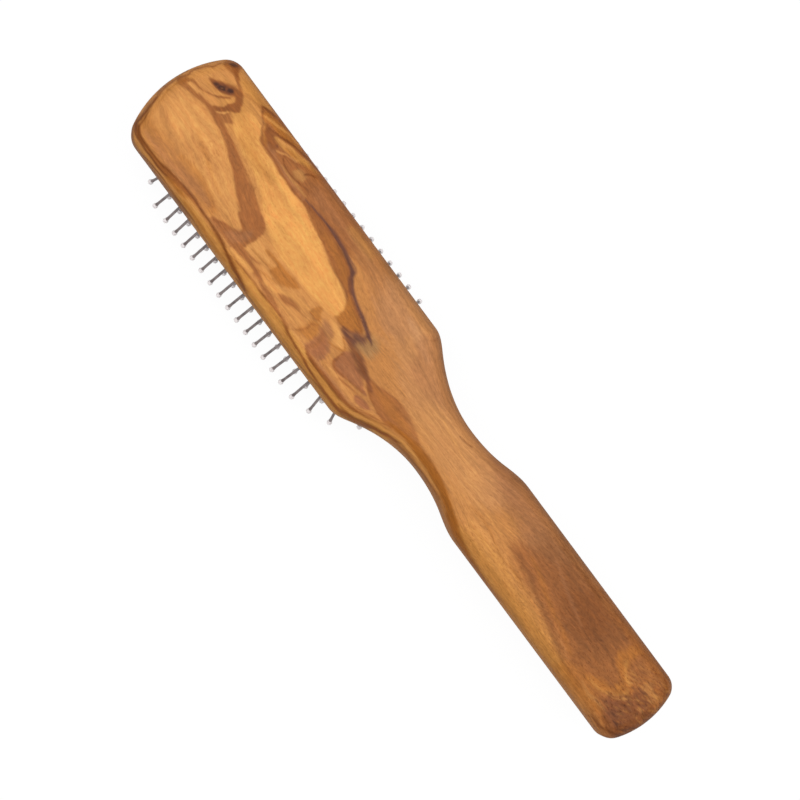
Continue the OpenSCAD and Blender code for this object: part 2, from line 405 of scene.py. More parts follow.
# Tones of the wood, as sRGB
woodTones = {
    "tan": (188, 125, 66),
    "pale": (201, 136, 72),
    "cream": (218, 152, 83),
    "gold": (223, 156, 81),
    "honey": (196, 133, 64),
    "straw": (183, 125, 66),
    "smoke": (152, 117, 76),
    "amber": (174, 107, 42),
    "copper": (156, 92, 30),
    "rust": (157, 94, 46),
    "brown": (143, 81, 35),
    "umber": (118, 63, 21),
    "mocha": (133, 80, 40),
    "walnut": (148, 96, 56),
    "coffee": (116, 65, 36),
    "rose": (164, 107, 66),
    "russet": (157, 96, 58),
    "fawn": (196, 142, 97),
    "plum": (94, 56, 47),
    "knot": (64, 34, 25),
}

# Painted in this order. Each row has its tone, how much it covers, how soft its edge is, and its points in mm:
# (u, v) for a patch, which is closed, and (u, v, half width) for a streak. u runs from the end of the head and
# v across it.
woodFigure = [
    ("pale", 1, 4, [(-4, -21), (30, -22), (62, -21), (84, -12), (80, 2), (62, 12), (30, 12), (10, 20),
     (-4, 10)]),
    ("amber", 0.55, 2, [(3, -13), (12, -16), (26, -15.5), (37, -14), (36, -11.5), (28, -9.5), (18, -12),
     (8, -11)]),
    ("rose", 0.6, 1.6, [(8, -15), (18, -16), (28, -14.6), (36, -12.4), (30, -11), (20, -12.6), (12, -12.8)]),
    ("cream", 0.8, 2.2, [(8, -7), (20, -9), (34, -10), (45, -9), (41, -6), (31, -2), (18, 1.5), (6, 0)]),
    ("tan", 0.6, 1.6, [(17, -9.6), (22, -9), (28, -6.6), (29, -4), (24, -2.6), (18, -5)]),
    ("honey", 0.5, 1.6, [(14, 7), (22, 5), (28, 7), (26, 12), (20, 15), (14, 14)]),
    ("amber", 0.5, 0.8, [(20, -10.6, 0.5), (26, -10, 0.7), (33, -11, 0.6), (37, -12.4, 0.3)]),
    ("amber", 0.4, 0.7, [(16, -3, 0.3), (22, -4.4, 0.5), (30, -7.4, 0.5), (36, -8.6, 0.2)]),
    # bands along the first side, and the lines that part them
    ("honey", 1, 0.4, [(22, -22), (60, -22), (104, -21.5), (118, -14), (114, -10.6), (104, -14.6), (96, -15.2),
     (86, -15), (76, -15.2), (64, -15.4), (50, -16), (40, -16.4), (30, -17.2)]),
    ("walnut", 0.85, 0.5, [(1.4, -7), (3, -13), (5.4, -17.4), (8, -20), (16, -21.5), (34, -22), (34, -19.2),
     (20, -18.9), (12, -19), (8, -18), (5.6, -15.4), (3.6, -11), (2.6, -7)]),
    ("honey", 0.7, 0.3, [(8.6, -18.2, 0.2), (12, -18.5, 0.4), (17, -18.3, 0.3)]),
    ("brown", 0.85, 0.5, [(5, -15), (8, -16.8), (12, -17.4), (19, -17.6), (23, -17.2), (27, -16.2), (32, -15.4),
     (38, -15.8), (42, -16.1), (48, -17), (52, -18), (57, -18.9), (61, -18.7), (54, -17.3), (49, -16.2),
     (44, -15.4), (38, -15), (32, -14.3), (27, -14.7), (20, -15.6), (14, -16.4), (9, -15.9), (6, -14.4)]),
    ("umber", 0.9, 0.25, [(2, -6, 0.2), (3.6, -12, 0.3), (5, -14.6, 0.35), (7, -16.4, 0.35), (9, -17.1, 0.3),
     (12, -17.5, 0.3), (15, -17.6, 0.3), (19, -17.5, 0.2), (24, -16.9, 0.1)]),
    ("umber", 0.8, 0.25, [(3, -8.5, 0.15), (4.8, -12.5, 0.25), (6.6, -15.2, 0.25), (8.6, -16.2, 0.25),
     (12, -16.6, 0.25), (16, -16.5, 0.25), (20, -15.9, 0.25), (24, -15.2, 0.25), (28, -14.7, 0.3),
     (32, -14.6, 0.3), (36, -15, 0.3), (42, -15.4, 0.3), (48, -16.5, 0.3), (54, -18, 0.3), (60, -18.9, 0.2)]),
    ("umber", 0.75, 0.2, [(12, -19.3, 0.1), (18, -18.7, 0.2), (21, -18.5, 0.25), (26, -18.9, 0.2),
     (34, -18.8, 0.2), (44, -18.9, 0.15)]),
    ("cream", 0.5, 0.25, [(18, -18.2, 0.1), (22, -18.1, 0.15), (26, -18.3, 0.1)]),
    ("amber", 0.8, 0.6, [(22, -17.4, 0.4), (26, -16.9, 0.7), (30, -16.6, 0.3)]),
    ("amber", 0.7, 0.4, [(30, -17.7, 0.3), (40, -17.9, 0.4), (50, -18.5, 0.2)]),
    ("gold", 0.4, 0.5, [(30, -16.6, 0.1), (37, -17, 0.3), (46, -17.6, 0.2)]),
    ("gold", 0.45, 0.5, [(54, -16.8, 0.3), (64, -17.4, 0.6), (76, -17.8, 0.3)]),
    ("gold", 0.5, 0.5, [(74, -15), (78, -16), (84, -16.6), (88, -15.8), (84, -14.6), (78, -14.2)]),
    ("umber", 0.6, 0.3, [(56, -19, 0.2), (66, -19.4, 0.2), (80, -19.3, 0.15), (88, -18.9, 0.15),
     (96, -18.2, 0.25), (102, -17.9, 0.3), (106, -16.5, 0.3), (111, -13.7, 0.3), (117, -11, 0.3),
     (124, -9.9, 0.3), (132, -9.6, 0.3), (139, -9.9, 0.25)]),
    ("brown", 0.95, 0.3, [(50, -16.3, 0.15), (56, -15.7, 0.25), (63, -15.6, 0.35), (70, -15, 0.5),
     (73.4, -15.1, 0.6), (76, -15.9, 0.4), (80, -16.4, 0.35), (85, -16.9, 0.35), (91, -17.8, 0.3),
     (101, -17.8, 0.3), (106, -15.9, 0.35), (112, -13, 0.35), (119, -10.3, 0.3)]),
    ("brown", 0.95, 0.35, [(82.4, -13.9, 0.25), (85, -14.8, 0.6), (88, -15.2, 0.65), (93, -15.1, 0.7),
     (98, -15.1, 0.8), (102, -14.9, 0.75), (106, -13.8, 0.6), (110, -12.2, 0.45), (115, -10.3, 0.3),
     (121, -9, 0.2)]),
    ("umber", 0.7, 0.25, [(86, -15.4, 0.1), (90, -15.8, 0.2), (96, -15.9, 0.25), (102, -15.7, 0.25),
     (106, -14.3, 0.25), (111, -12.2, 0.2)]),
    ("cream", 0.55, 0.3, [(100, -16.6, 0.15), (105, -15, 0.2), (111, -12.2, 0.2), (117, -9.9, 0.15)]),
    # golden lobe under the middle
    ("gold", 1, 0.7, [(20, 8), (24, 5), (31, 3.4), (38, 2), (46, -2), (56, -5), (66, -5.4), (74, -5),
     (80, -3.4), (81.4, -1), (79.6, 2), (74, 4), (66, 5.3), (58, 7.4), (50, 8.6), (40, 8.8), (31, 9.2),
     (26, 12.4), (21, 12)]),
    ("honey", 0.6, 1.4, [(20, 10, 1.4), (27, 7.4, 2.2), (34, 5.6, 1.8), (40, 6.4, 0.6)]),
    ("amber", 0.35, 0.8, [(26, 5.4, 0.5), (33, 5.6, 0.4), (40, 5, 0.2)]),
    # pale field between the bands and the lobe
    ("pale", 0.8, 0.9, [(50, -11.6), (56, -11.4), (60, -14), (70, -14.4), (77, -14.6), (79, -10), (80, -4),
     (70, -5), (58, -5), (50.6, -6)]),
    ("cream", 0.7, 0.6, [(50.6, -11.4), (53, -11.4), (58, -9.4), (57, -7.4), (52, -6.6), (50.4, -8)]),
    ("gold", 0.55, 0.7, [(59, -13.4, 0.3), (64, -12.2, 0.6), (69, -9.6, 0.6), (74, -8.2, 0.6), (78, -6, 0.3)]),
    ("amber", 0.6, 0.4, [(58, -12.4, 0.2), (62, -11, 0.25), (66, -9.6, 0.1)]),
    ("amber", 0.6, 0.4, [(52, -10.4, 0.1), (56, -9.6, 0.25), (60, -8.8, 0.2)]),
    ("rust", 0.85, 0.5, [(60, -14.2), (64, -15.3), (70, -15.2), (67.4, -13.8), (63.4, -13.4)]),
    ("rust", 0.8, 0.6, [(66.4, -11.9), (69, -12.1), (71, -11.1), (73.4, -9.8), (71, -9.6), (68.4, -10.4)]),
    ("brown", 0.6, 0.35, [(68, -12, 0.1), (72, -10.6, 0.25), (76, -10, 0.1)]),
    ("amber", 0.95, 0.5, [(60, -9.5), (62, -10.1), (65, -9.9), (67.4, -8.4), (69.2, -6.1), (64, -5.8),
     (58, -6.2), (55, -6.6), (55, -7.3), (60, -7.3)]),
    # brown streak across the head
    ("brown", 0.75, 0.4, [(2.4, 1.6, 1), (6, 2.3, 0.7), (10, 3, 0.5), (15, 3.7, 0.5)]),
    ("brown", 0.7, 0.4, [(2.8, 3.2, 0.9), (4.6, 4.5, 0.35), (8, 4.8, 0.3), (10.5, 5.8, 0.3), (12.6, 7.6, 0.35),
     (14.2, 10, 0.4)]),
    ("cream", 0.7, 0.35, [(4.4, 3.5, 0.45), (8, 3.8, 0.4), (12, 4.2, 0.2)]),
    ("rust", 0.95, 0.5, [(9, 3.3, 0.4), (14, 3.8, 0.6), (20, 3.1, 0.9), (26, 1.8, 1.1), (31, 0.5, 1.5),
     (35, -1.2, 1.8), (39, -2.9, 2.2), (43, -4.2, 2.5), (47, -4.8, 2.1)]),
    ("brown", 0.5, 0.4, [(14, 4.2, 0.2), (22, 3.6, 0.3), (29, 2.2, 0.3), (35, 0.9, 0.3), (41, -1.2, 0.3),
     (47, -2.8, 0.2)]),
    ("brown", 0.45, 0.4, [(17, 3, 0.1), (24, 1.2, 0.25), (31, -0.8, 0.3), (36, -2.8, 0.3), (41, -5.6, 0.2)]),
    ("rust", 0.95, 0.5, [(44, -3), (42, -7), (44, -8.6), (46.4, -10.2), (42.4, -12), (38.4, -14), (43, -15),
     (50, -14.6), (60, -14.2), (60, -12.8), (55, -12.2), (50.6, -11.6), (50.4, -8), (50.2, -5), (48, -3)]),
    ("rose", 0.6, 0.8, [(44, -13.6), (48, -13.4), (49, -10), (47.6, -7), (46.6, -9), (44.6, -11.4)]),
    ("brown", 0.5, 0.35, [(39.4, -14, 0.2), (42.4, -12.2, 0.25), (46.6, -10.2, 0.25), (44, -8, 0.2)]),
    ("gold", 0.8, 0.4, [(48.4, -14.9), (52, -15.4), (56.4, -14.7), (57.4, -13.9), (53, -13.9)]),
    ("rust", 0.8, 0.4, [(51, -12.2, 0.5), (54, -11.9, 0.4), (57.4, -10.8, 0.15)]),
    # knot near the corner of the head
    ("pale", 0.9, 0.6, [(3, 5.2), (8, 5.4), (11.8, 7.4), (13.6, 9.8), (14.5, 11.8), (12.8, 13.2), (9, 13.6),
     (5.4, 12.4), (3, 8.5)]),
    ("brown", 0.8, 0.4, [(4, 4.6, 0.3), (7.5, 4.9, 0.25), (10.5, 6, 0.3), (12.6, 7.8, 0.3),
     (14.2, 10.2, 0.35)]),
    ("honey", 0.6, 0.5, [(6.4, 7.4, 0.3), (10.4, 7.8, 0.3), (13, 9.8, 0.3)]),
    ("brown", 0.95, 0.5, [(6.6, 8.6), (9, 8.2), (12, 9.2), (14.2, 11), (16, 12.2), (14.6, 13.2), (12, 13),
     (9.2, 11.4), (7.4, 10)]),
    ("coffee", 0.95, 0.4, [(8, 8.8), (10.6, 8.8), (12.8, 10.1), (13.8, 11.6), (12.4, 12.3), (10, 11.3),
     (8.4, 10.1)]),
    ("knot", 0.95, 0.3, [(10, 9.2), (11.2, 9.5), (11.6, 10.4), (10.8, 11), (9.9, 10.4)]),
    ("knot", 0.95, 0.3, [(11.8, 10.6), (13, 11), (13.3, 12), (12.4, 12.2), (11.6, 11.5)]),
    ("knot", 0.8, 0.3, [(8.4, 8.9), (9.5, 9.1), (9.7, 9.9), (8.8, 9.9)]),
    ("walnut", 0.5, 0.2, [(10.6, 9.8), (10.9, 9.9), (10.9, 10.2), (10.6, 10.1)]),
    ("brown", 0.95, 0.4, [(14.4, 4.6), (16.2, 4.6), (17.2, 6.2), (18.4, 8), (19.7, 9.8), (18.8, 10.9), (17, 12),
     (15.2, 12.5), (14.8, 11.8), (16, 10.6), (15.9, 8.6), (15.4, 6.6)]),
    ("rust", 0.85, 0.4, [(16.8, 4.2), (19.4, 4.2), (21.3, 6), (20, 6.9), (18.6, 7.7), (17.4, 6)]),
    ("cream", 0.8, 0.25, [(16.4, 4.6, 0.15), (17.4, 6, 0.25), (18.2, 7.2, 0.1)]),
    ("brown", 0.9, 0.4, [(18, 11.4, 0.5), (15.5, 13, 0.5), (12.5, 14.6, 0.5), (10, 16, 0.7), (8, 17.6, 0.9)]),
    ("brown", 0.6, 0.4, [(15, 12.8, 0.4), (17, 13.9, 0.3), (21, 14.9, 0.2), (25, 15.8, 0.15)]),
    ("brown", 0.8, 0.6, [(6.2, 14.2), (9, 14.5), (11, 15.4), (9.5, 18), (7, 18), (5.6, 16)]),
    ("knot", 0.8, 0.4, [(7.2, 15.8), (8.6, 16.1), (9, 17.2), (7.6, 17)]),
    ("honey", 0.6, 0.8, [(13, 15), (16, 14), (21, 14.8), (24, 16.4), (22, 18), (14, 17.6)]),
    ("walnut", 0.7, 0.4, [(10, 18.4, 0.5), (20, 18.4, 0.3), (28, 18.2, 0.4), (60, 18.4, 0.4)]),
    # the rim at the end of the head
    ("brown", 0.75, 0.3, [(2.2, -7, 0.3), (1.2, -1, 0.35), (1.6, 4, 0.35), (3, 9, 0.3), (5.4, 14, 0.2)]),
    ("walnut", 0.8, 0.3, [(1.4, -6, 0.3), (0, 0, 0.4), (0.4, 5, 0.4), (2, 11, 0.4), (4.6, 16, 0.3)]),
    ("copper", 0.5, 0.3, [(3.4, -6, 0.15), (2.6, -1, 0.2), (2.8, 3, 0.15)]),
    # nested flames along the other side
    ("rust", 0.95, 0.5, [(22.4, 16), (23.2, 14.8), (25.4, 14), (27.2, 12.8), (28.8, 11), (31.2, 9.5), (34, 9),
     (36, 9.1), (40, 8.7), (46, 8.7), (56, 9.6), (70, 10.8), (76, 11.4), (77, 14), (74, 20), (40, 20),
     (28, 18.4)]),
    ("amber", 0.75, 0.5, [(24, 14.8, 0.4), (26.6, 13.4, 0.6), (28.6, 11.4, 0.6), (31, 9.8, 0.4)]),
    ("rose", 0.55, 0.5, [(31, 10.4), (35, 9.4), (42, 9.3), (50, 9.5), (50, 10.3), (42, 10.4), (36, 10.6),
     (32, 11.6)]),
    ("brown", 0.8, 0.5, [(26.4, 13.8, 0.3), (28.4, 12.6, 0.8), (30.4, 11.6, 0.7), (32.8, 10.9, 0.4)]),
    ("brown", 0.7, 0.6, [(27.6, 12.6), (29.4, 11.4), (32.4, 11), (33.4, 12), (31.6, 13.4), (28.4, 13.8)]),
    ("coffee", 0.8, 0.3, [(32.2, 12.9), (32.5, 12.3), (33.2, 12.2), (33.2, 12.7), (32.7, 13.1)]),
    ("amber", 0.8, 0.4, [(24.2, 14.4), (27, 14.6), (30, 15), (34, 16.4), (38, 17.6), (32, 18.6), (27, 17),
     (24, 15.8)]),
    ("gold", 0.6, 0.3, [(24.6, 14.9, 0.35), (27, 15.7, 0.4), (29.5, 16.6, 0.35), (32, 17.4, 0.3),
     (36, 18, 0.2)]),
    ("honey", 0.95, 0.4, [(30.4, 13.4), (33, 13.2), (36, 13.8), (39, 14.6), (42, 15.9), (46, 17.3), (42, 17),
     (38, 16.2), (34, 15.2), (31.4, 14.4)]),
    ("amber", 0.7, 0.3, [(34.4, 14.2, 0.2), (36.6, 14.6, 0.4), (38.4, 15, 0.2)]),
    ("cream", 0.5, 0.25, [(31.6, 14, 0.25), (34, 15.1, 0.3), (38, 16.1, 0.25), (43, 17.4, 0.15)]),
    ("umber", 0.85, 0.25, [(27.4, 13.6, 0.15), (28.6, 14, 0.3), (30.4, 14.7, 0.35), (33, 15.8, 0.35),
     (36, 16.7, 0.3), (40, 17.5, 0.3), (45, 18, 0.2)]),
    ("umber", 0.7, 0.25, [(26, 17.2, 0.3), (24, 16.5, 0.35), (22.7, 15.9, 0.25), (23.5, 15, 0.2)]),
    ("umber", 0.5, 0.25, [(27, 17.5, 0.3), (31, 18, 0.2)]),
    ("umber", 0.8, 0.25, [(36, 12.6, 0.15), (36.6, 11.7, 0.2), (38.4, 11, 0.25), (40.8, 10.8, 0.25),
     (43, 11.2, 0.2), (45.6, 11.9, 0.2), (48.4, 12.2, 0.15)]),
    ("brown", 0.8, 0.25, [(35.8, 12.4, 0.15), (36.8, 13.1, 0.2), (39, 13.9, 0.2), (42, 14.9, 0.15)]),
    ("cream", 0.6, 0.25, [(34, 11.7, 0.2), (35.2, 12.6, 0.25), (36.4, 13.5, 0.2), (39.4, 14.3, 0.15)]),
    ("straw", 0.85, 0.5, [(40.8, 12), (43, 11.6), (45, 12.6), (44.6, 14), (42.4, 14.4), (41, 13.4)]),
    ("straw", 0.85, 0.3, [(38, 10.4, 0.15), (42, 10.4, 0.25), (46, 10.5, 0.3), (48.6, 10.8, 0.15)]),
    ("umber", 0.9, 0.25, [(43.6, 14.1, 0.25), (44.1, 15, 0.3), (45.2, 15.8, 0.3), (46.4, 16.3, 0.15)]),
    ("brown", 0.5, 0.4, [(47, 12.4, 0.2), (50, 13.4, 0.3), (49, 15.4, 0.3), (52, 16.8, 0.2)]),
    ("brown", 0.5, 0.4, [(40, 15.4, 0.2), (44, 16.8, 0.3), (50, 17.8, 0.3), (58, 18, 0.2)]),
    ("brown", 0.8, 0.3, [(22, 16, 0.1), (25, 13.6, 0.2), (28, 11, 0.25), (31, 9.4, 0.3), (36, 9.5, 0.25),
     (42, 9, 0.2), (48, 9, 0.2)]),
    # brown band under the lobe, and the dark line that ends in the purple spot
    ("brown", 0.85, 0.5, [(50, 9), (58, 7.5), (66, 5.4), (74, 4.1), (79.4, 2.2), (81.2, -0.4), (82.4, -3.2),
     (86.5, -2), (88.4, 1), (84, 3.4), (77, 5.6), (73.4, 8.6), (68, 9.9), (60, 10.8), (50, 10)]),
    ("amber", 0.9, 0.8, [(81.2, -2.8), (83, -3), (85.4, -2.2), (87.4, -0.6), (88.4, 1), (86, 2.4), (82, 3.2),
     (78, 4), (79.4, 2), (80.6, -0.6)]),
    ("amber", 0.5, 0.9, [(60, 8.4), (68, 6.4), (74, 5), (76, 5), (71, 8.6), (64, 9.6)]),
    ("amber", 0.75, 0.9, [(76.4, -14), (79, -13.6), (81.4, -12.4), (82, -11), (81, -9), (79.6, -7.4),
     (78, -8.4), (77.4, -10), (77, -12)]),
    ("brown", 0.5, 0.4, [(75.6, -14.8, 0.1), (77.4, -12.8, 0.3), (78.2, -10, 0.3), (80, -8, 0.1)]),
    ("russet", 0.85, 0.8, [(82, -14), (84.6, -14.6), (88, -14.2), (88.6, -12.4), (87.6, -10.6), (86, -9.2),
     (83, -8), (80.4, -7.6), (81.2, -10), (81.4, -12)]),
    ("rust", 0.5, 0.7, [(83, -13.4, 0.4), (83.4, -11, 0.9), (81.8, -8.6, 0.6)]),
    ("russet", 0.6, 0.8, [(85.4, -14, 0.7), (85.6, -12.2, 1.3), (84.4, -10.4, 0.9)]),
    ("rose", 0.6, 0.6, [(87.2, -13.4, 0.4), (87.6, -11.4, 0.5), (85.4, -9, 0.4)]),
    ("pale", 0.5, 0.5, [(88.6, -13.6, 0.4), (90, -12.2, 0.6), (88.4, -10, 0.5), (86, -8.8, 0.3)]),
    ("amber", 0.8, 0.45, [(76, -8), (78.4, -8.2), (79.2, -6.8), (78, -5.6), (76.8, -4.4), (75.6, -5.6)]),
    ("brown", 0.6, 0.3, [(75.8, -7.9, 0.15), (77.6, -8.1, 0.25), (79.4, -7.2, 0.15)]),
    ("rose", 0.75, 0.7, [(79.8, -7.4), (82, -7.8), (84.6, -7.2), (84.4, -6.2), (82, -5.4), (79.6, -5.6)]),
    ("cream", 0.85, 0.6, [(84.8, -7.6), (86.4, -8), (88.4, -7.4), (89, -6.2), (87.6, -5.2), (86, -4.4),
     (84, -4.2), (80.6, -4.8), (83, -5.6), (84.4, -6.4)]),
    ("amber", 0.8, 0.3, [(84.6, -8.6, 0.15), (87.4, -7.9, 0.25), (89.2, -6.8, 0.3), (88.2, -5.6, 0.25),
     (86.6, -4.7, 0.15)]),
    ("russet", 0.9, 0.5, [(89.8, -8.4), (90.2, -10.2), (91.4, -11.2), (93, -11.8), (94.6, -11.6), (97, -10.9),
     (100.4, -10), (103.4, -9.2), (101, -8.2), (98, -7.2), (94, -6), (91.4, -5.2), (89.8, -6.2), (89.4, -7.4)]),
    ("brown", 0.8, 0.35, [(89.8, -7.6, 0.2), (90, -9.4, 0.4), (91, -10.8, 0.5), (92.8, -11.6, 0.4),
     (95, -11.3, 0.25), (98.6, -10.4, 0.2), (102, -9.6, 0.1)]),
    ("rose", 0.5, 0.6, [(92.4, -9.4, 0.3), (96, -8.8, 0.6), (100, -8.6, 0.3)]),
    ("cream", 0.55, 0.4, [(90.6, -12.4, 0.2), (94, -13, 0.4), (99, -13, 0.3), (104, -12.8, 0.2),
     (109, -10.8, 0.1)]),
    ("rose", 0.6, 0.4, [(88, -14.3, 0.3), (94, -14.2, 0.4), (101, -14, 0.4), (106, -12.8, 0.3),
     (111, -10.8, 0.2)]),
    ("brown", 0.7, 0.3, [(95.6, -12.3, 0.1), (98, -11.8, 0.25), (101, -11, 0.25), (103.4, -10.4, 0.1)]),
    ("russet", 0.95, 0.4, [(102.2, -12), (104, -12.5), (106.4, -11.9), (107.8, -10.8), (106, -10.2),
     (103.6, -10.5), (102, -11)]),
    ("umber", 0.7, 0.25, [(101, -16.9, 0.15), (104, -16.3, 0.25), (108, -14.3, 0.25), (113, -12.1, 0.25),
     (120, -9.7, 0.2)]),
    ("brown", 0.6, 0.25, [(101, -13.7, 0.1), (105, -13, 0.2), (109, -11.4, 0.25), (114, -9.7, 0.1)]),
    ("rust", 0.9, 0.45, [(99.4, -6), (101, -7), (104, -8.2), (108, -9.1), (112, -9.4), (117, -8.2), (122, -6.8),
     (123.4, -5.4), (119, -3.8), (115, -2.7), (110, -2.8), (104.6, -4.2), (101, -5.2)]),
    ("amber", 0.55, 1, [(102, -6), (108, -7.4), (114, -7.4), (120, -6), (115, -4.4), (108, -4.6)]),
    ("brown", 0.8, 0.3, [(100, -6.6, 0.3), (103, -7.9, 0.35), (107, -9, 0.3), (111, -9.4, 0.25),
     (115, -9, 0.15)]),
    ("coffee", 0.85, 0.6, [(84.6, -3, 0.3), (87.6, -3.4, 0.8), (90.2, -4.1, 1.2), (92.8, -4.6, 1.35),
     (95.6, -5.3, 1.3), (98, -5.9, 1), (100.2, -6.4, 0.5), (103, -7.2, 0.2)]),
    ("coffee", 0.45, 0.8, [(84, -3.4), (86.6, -4.1), (89, -4.5), (92, -5), (95.6, -6), (98, -6.8), (100, -6.8),
     (99, -5.4), (96, -4.4), (93, -3.2), (90, -2.8), (87, -2.6)]),
    ("umber", 0.5, 0.4, [(89, -3.9, 0.2), (92, -4.2, 0.5), (95, -5, 0.4), (98, -5.9, 0.2)]),
    ("smoke", 0.65, 1.6, [(89.8, -2.6), (92.4, -3), (94.6, -1.8), (95.2, 0.4), (94.4, 2), (91.6, 2),
     (90.4, 0)]),
    ("plum", 0.85, 1.1, [(84.6, -3.2), (86.4, -3.6), (87.8, -3), (89.4, -3.2), (90.2, -1.8), (91.2, -0.8),
     (90.8, 0.6), (90.2, 1.8), (89.2, 0.6), (87.8, -0.4), (87, -1.8)]),
    ("plum", 0.92, 0.4, [(92.6, 0.6, 0.2), (90, 1.6, 0.5), (87, 2.8, 0.6), (83.4, 3.9, 0.6), (80, 4.7, 0.6),
     (77, 5.8, 0.75), (74.6, 7.3, 0.85), (72.8, 8.9, 0.9), (70, 9.8, 0.8), (66, 10.5, 0.7), (61, 11.1, 0.5),
     (55, 10.8, 0.35), (49, 10.1, 0.2)]),
    ("brown", 0.5, 0.7, [(89, 0.4, 0.3), (84, 2.8, 0.4), (78, 4.6, 0.4), (73.4, 7.4, 0.5), (66, 9.4, 0.5)]),
    ("tan", 0.85, 3, [(70, 12.4), (76, 10.4), (84, 8), (92, 8), (92, 14), (84, 21), (70, 21)]),
    # plain wood towards the neck
    ("rose", 0.45, 2, [(50, 12), (60, 12.4), (72, 12), (84, 8), (92, 5), (98, 8), (94, 14), (80, 18),
     (50, 18)]),
    ("walnut", 0.65, 1.6, [(76, 17.6), (84, 16), (96, 16.4), (104, 15.6), (112, 11.4), (114, 14), (104, 20),
     (76, 20)]),
    ("straw", 0.6, 1.2, [(63, 14.8), (68, 14.4), (74, 15.4), (70, 17), (64, 17)]),
    ("fawn", 0.35, 3, [(84, 9), (98, 4), (110, -1), (122, -3), (136, -4), (148, -2), (148, 12), (106, 19),
     (84, 19)]),
    ("fawn", 0.5, 1, [(93, 13, 0.6), (100, 12, 1.2), (107, 10.4, 0.6)]),
    ("umber", 0.6, 0.3, [(102.6, 14.6, 0.15), (103.6, 15.6, 0.25), (103.4, 16.8, 0.15)]),
    ("rose", 0.5, 2, [(104, 6), (112, 4), (122, 6), (134, 7), (146, 9), (146, 14), (104, 18)]),
    # neck
    ("cream", 0.25, 3, [(114, -2), (122, -5), (132, -5), (144, -7), (156, -10), (166, -10), (160, -4),
     (146, -1), (138, 4), (128, 6), (118, 4)]),
    ("gold", 0.6, 0.35, [(100, -16.4, 0.2), (106, -14.2, 0.25), (112, -11.4, 0.3), (119, -9.3, 0.35),
     (127, -8.5, 0.4), (135, -8.7, 0.3), (141, -9.7, 0.2)]),
    ("copper", 0.95, 0.4, [(113, -8.7, 0.2), (118, -7.5, 0.7), (124, -6.8, 1.2), (130, -6.8, 1.3),
     (136, -7.7, 1.2), (141, -9.1, 1.1), (146, -10.8, 1.1), (151, -12.3, 1), (158, -13, 0.9),
     (166, -13.8, 0.7)]),
    ("walnut", 0.5, 0.4, [(118, -11, 0.5), (128, -10.2, 0.5), (138, -10.6, 0.5), (146, -12.6, 0.5),
     (160, -13.8, 0.4)]),
    ("umber", 0.6, 0.3, [(128.4, 5, 0.1), (130, 5.3, 0.2), (132.4, 6.1, 0.1)]),
    ("cream", 0.5, 0.3, [(120, 4.4, 0.1), (127, 3.1, 0.2), (135, 2.2, 0.1)]),
    # handle
    ("rose", 0.75, 2.6, [(140, 8), (146, 4.6), (156, 3.6), (164, 0.4), (176, -2), (192, -4), (200, 4),
     (196, 16), (150, 16), (136, 12)]),
    ("honey", 0.75, 2, [(150, -12), (164, -14), (186, -14), (202, -12), (196, -9), (184, -7.4), (172, -5.4),
     (160, -5), (150, -8)]),
    ("cream", 0.6, 0.7, [(150, -6.4, 0.4), (155.6, -5.4, 0.7), (160, -4.6, 0.2)]),
    ("pale", 0.6, 0.6, [(146, -8.2, 0.2), (152, -8.4, 0.6), (159, -7.2, 0.2)]),
    ("pale", 0.6, 0.6, [(146, -1.6, 0.2), (154, -2.4, 0.6), (162, -4, 0.6), (170, -7, 0.5), (176, -6.4, 0.2)]),
    ("amber", 0.5, 0.5, [(146, -4.4, 0.1), (154, -3.8, 0.3), (162, -5.4, 0.3), (170, -5.2, 0.2)]),
    ("rust", 0.85, 3, [(162, -1), (170, -4), (182, -6), (194, -8), (206, -10), (226, -12), (226, 14), (204, 14),
     (180, 8), (168, 4)]),
    ("mocha", 0.85, 3.4, [(166, 4), (178, 1.4), (190, -2), (200, -1), (203, 3), (198, 9.5), (182, 11),
     (168, 10)]),
    ("umber", 0.4, 2.4, [(182, 1), (192, -1), (198, 2), (196, 8), (186, 9)]),
    ("walnut", 0.4, 1.8, [(148, 6), (160, 4.6), (172, 5), (174, 14), (148, 14)]),
    ("mocha", 0.4, 2.2, [(198, -9), (206, -9), (213, -4), (213, 3), (222, 4), (222, 13), (198, 13)]),
    ("mocha", 0.5, 0.8, [(166, -1.4, 0.3), (176, -4, 0.6), (186, -6.6, 0.6), (196, -9.4, 0.3)]),
    ("amber", 0.5, 0.8, [(168, 1, 0.3), (178, -1.8, 0.6), (188, -4.4, 0.5), (196, -6.4, 0.2)]),
    ("rose", 0.5, 0.7, [(172, 6, 0.3), (182, 3.4, 0.5), (192, 0.6, 0.3)]),
    ("amber", 0.5, 1.6, [(196, -12.6), (208, -12), (214, -9.6), (210, -6.6), (204, -6), (198, -8)]),
    ("amber", 0.75, 1.2, [(204.6, -7), (208, -7), (210.6, -5), (213, -2.6), (214.8, 0), (213, 2), (209.6, 3.4),
     (208.6, 6), (208, 9.4), (205.4, 9), (204.6, 5), (206, 2.6), (209.4, 0.6), (210, -1.6), (207.6, -3.6),
     (205, -5)]),
    ("honey", 0.5, 0.6, [(205, -6, 0.3), (209, -5.4, 0.6), (212.4, -2.6, 0.5), (213.6, 0, 0.4), (210, 2.6, 0.4),
     (207.4, 5, 0.3)]),
    ("straw", 0.75, 0.6, [(204.6, -8.4, 0.2), (208, -9.2, 0.5), (211, -8.6, 0.5), (214.4, -8, 0.2)]),
    ("coffee", 0.7, 1.1, [(211.4, -6), (214, -8.2), (217.4, -9.8), (222, -10.4), (225.6, -6), (225, 2),
     (221, 3.6), (216.4, 3.4), (214.8, 0), (213, -3)]),
    ("plum", 0.2, 1, [(212, -6), (215, -7.4), (218, -7), (217, -4), (214, -3.6)]),
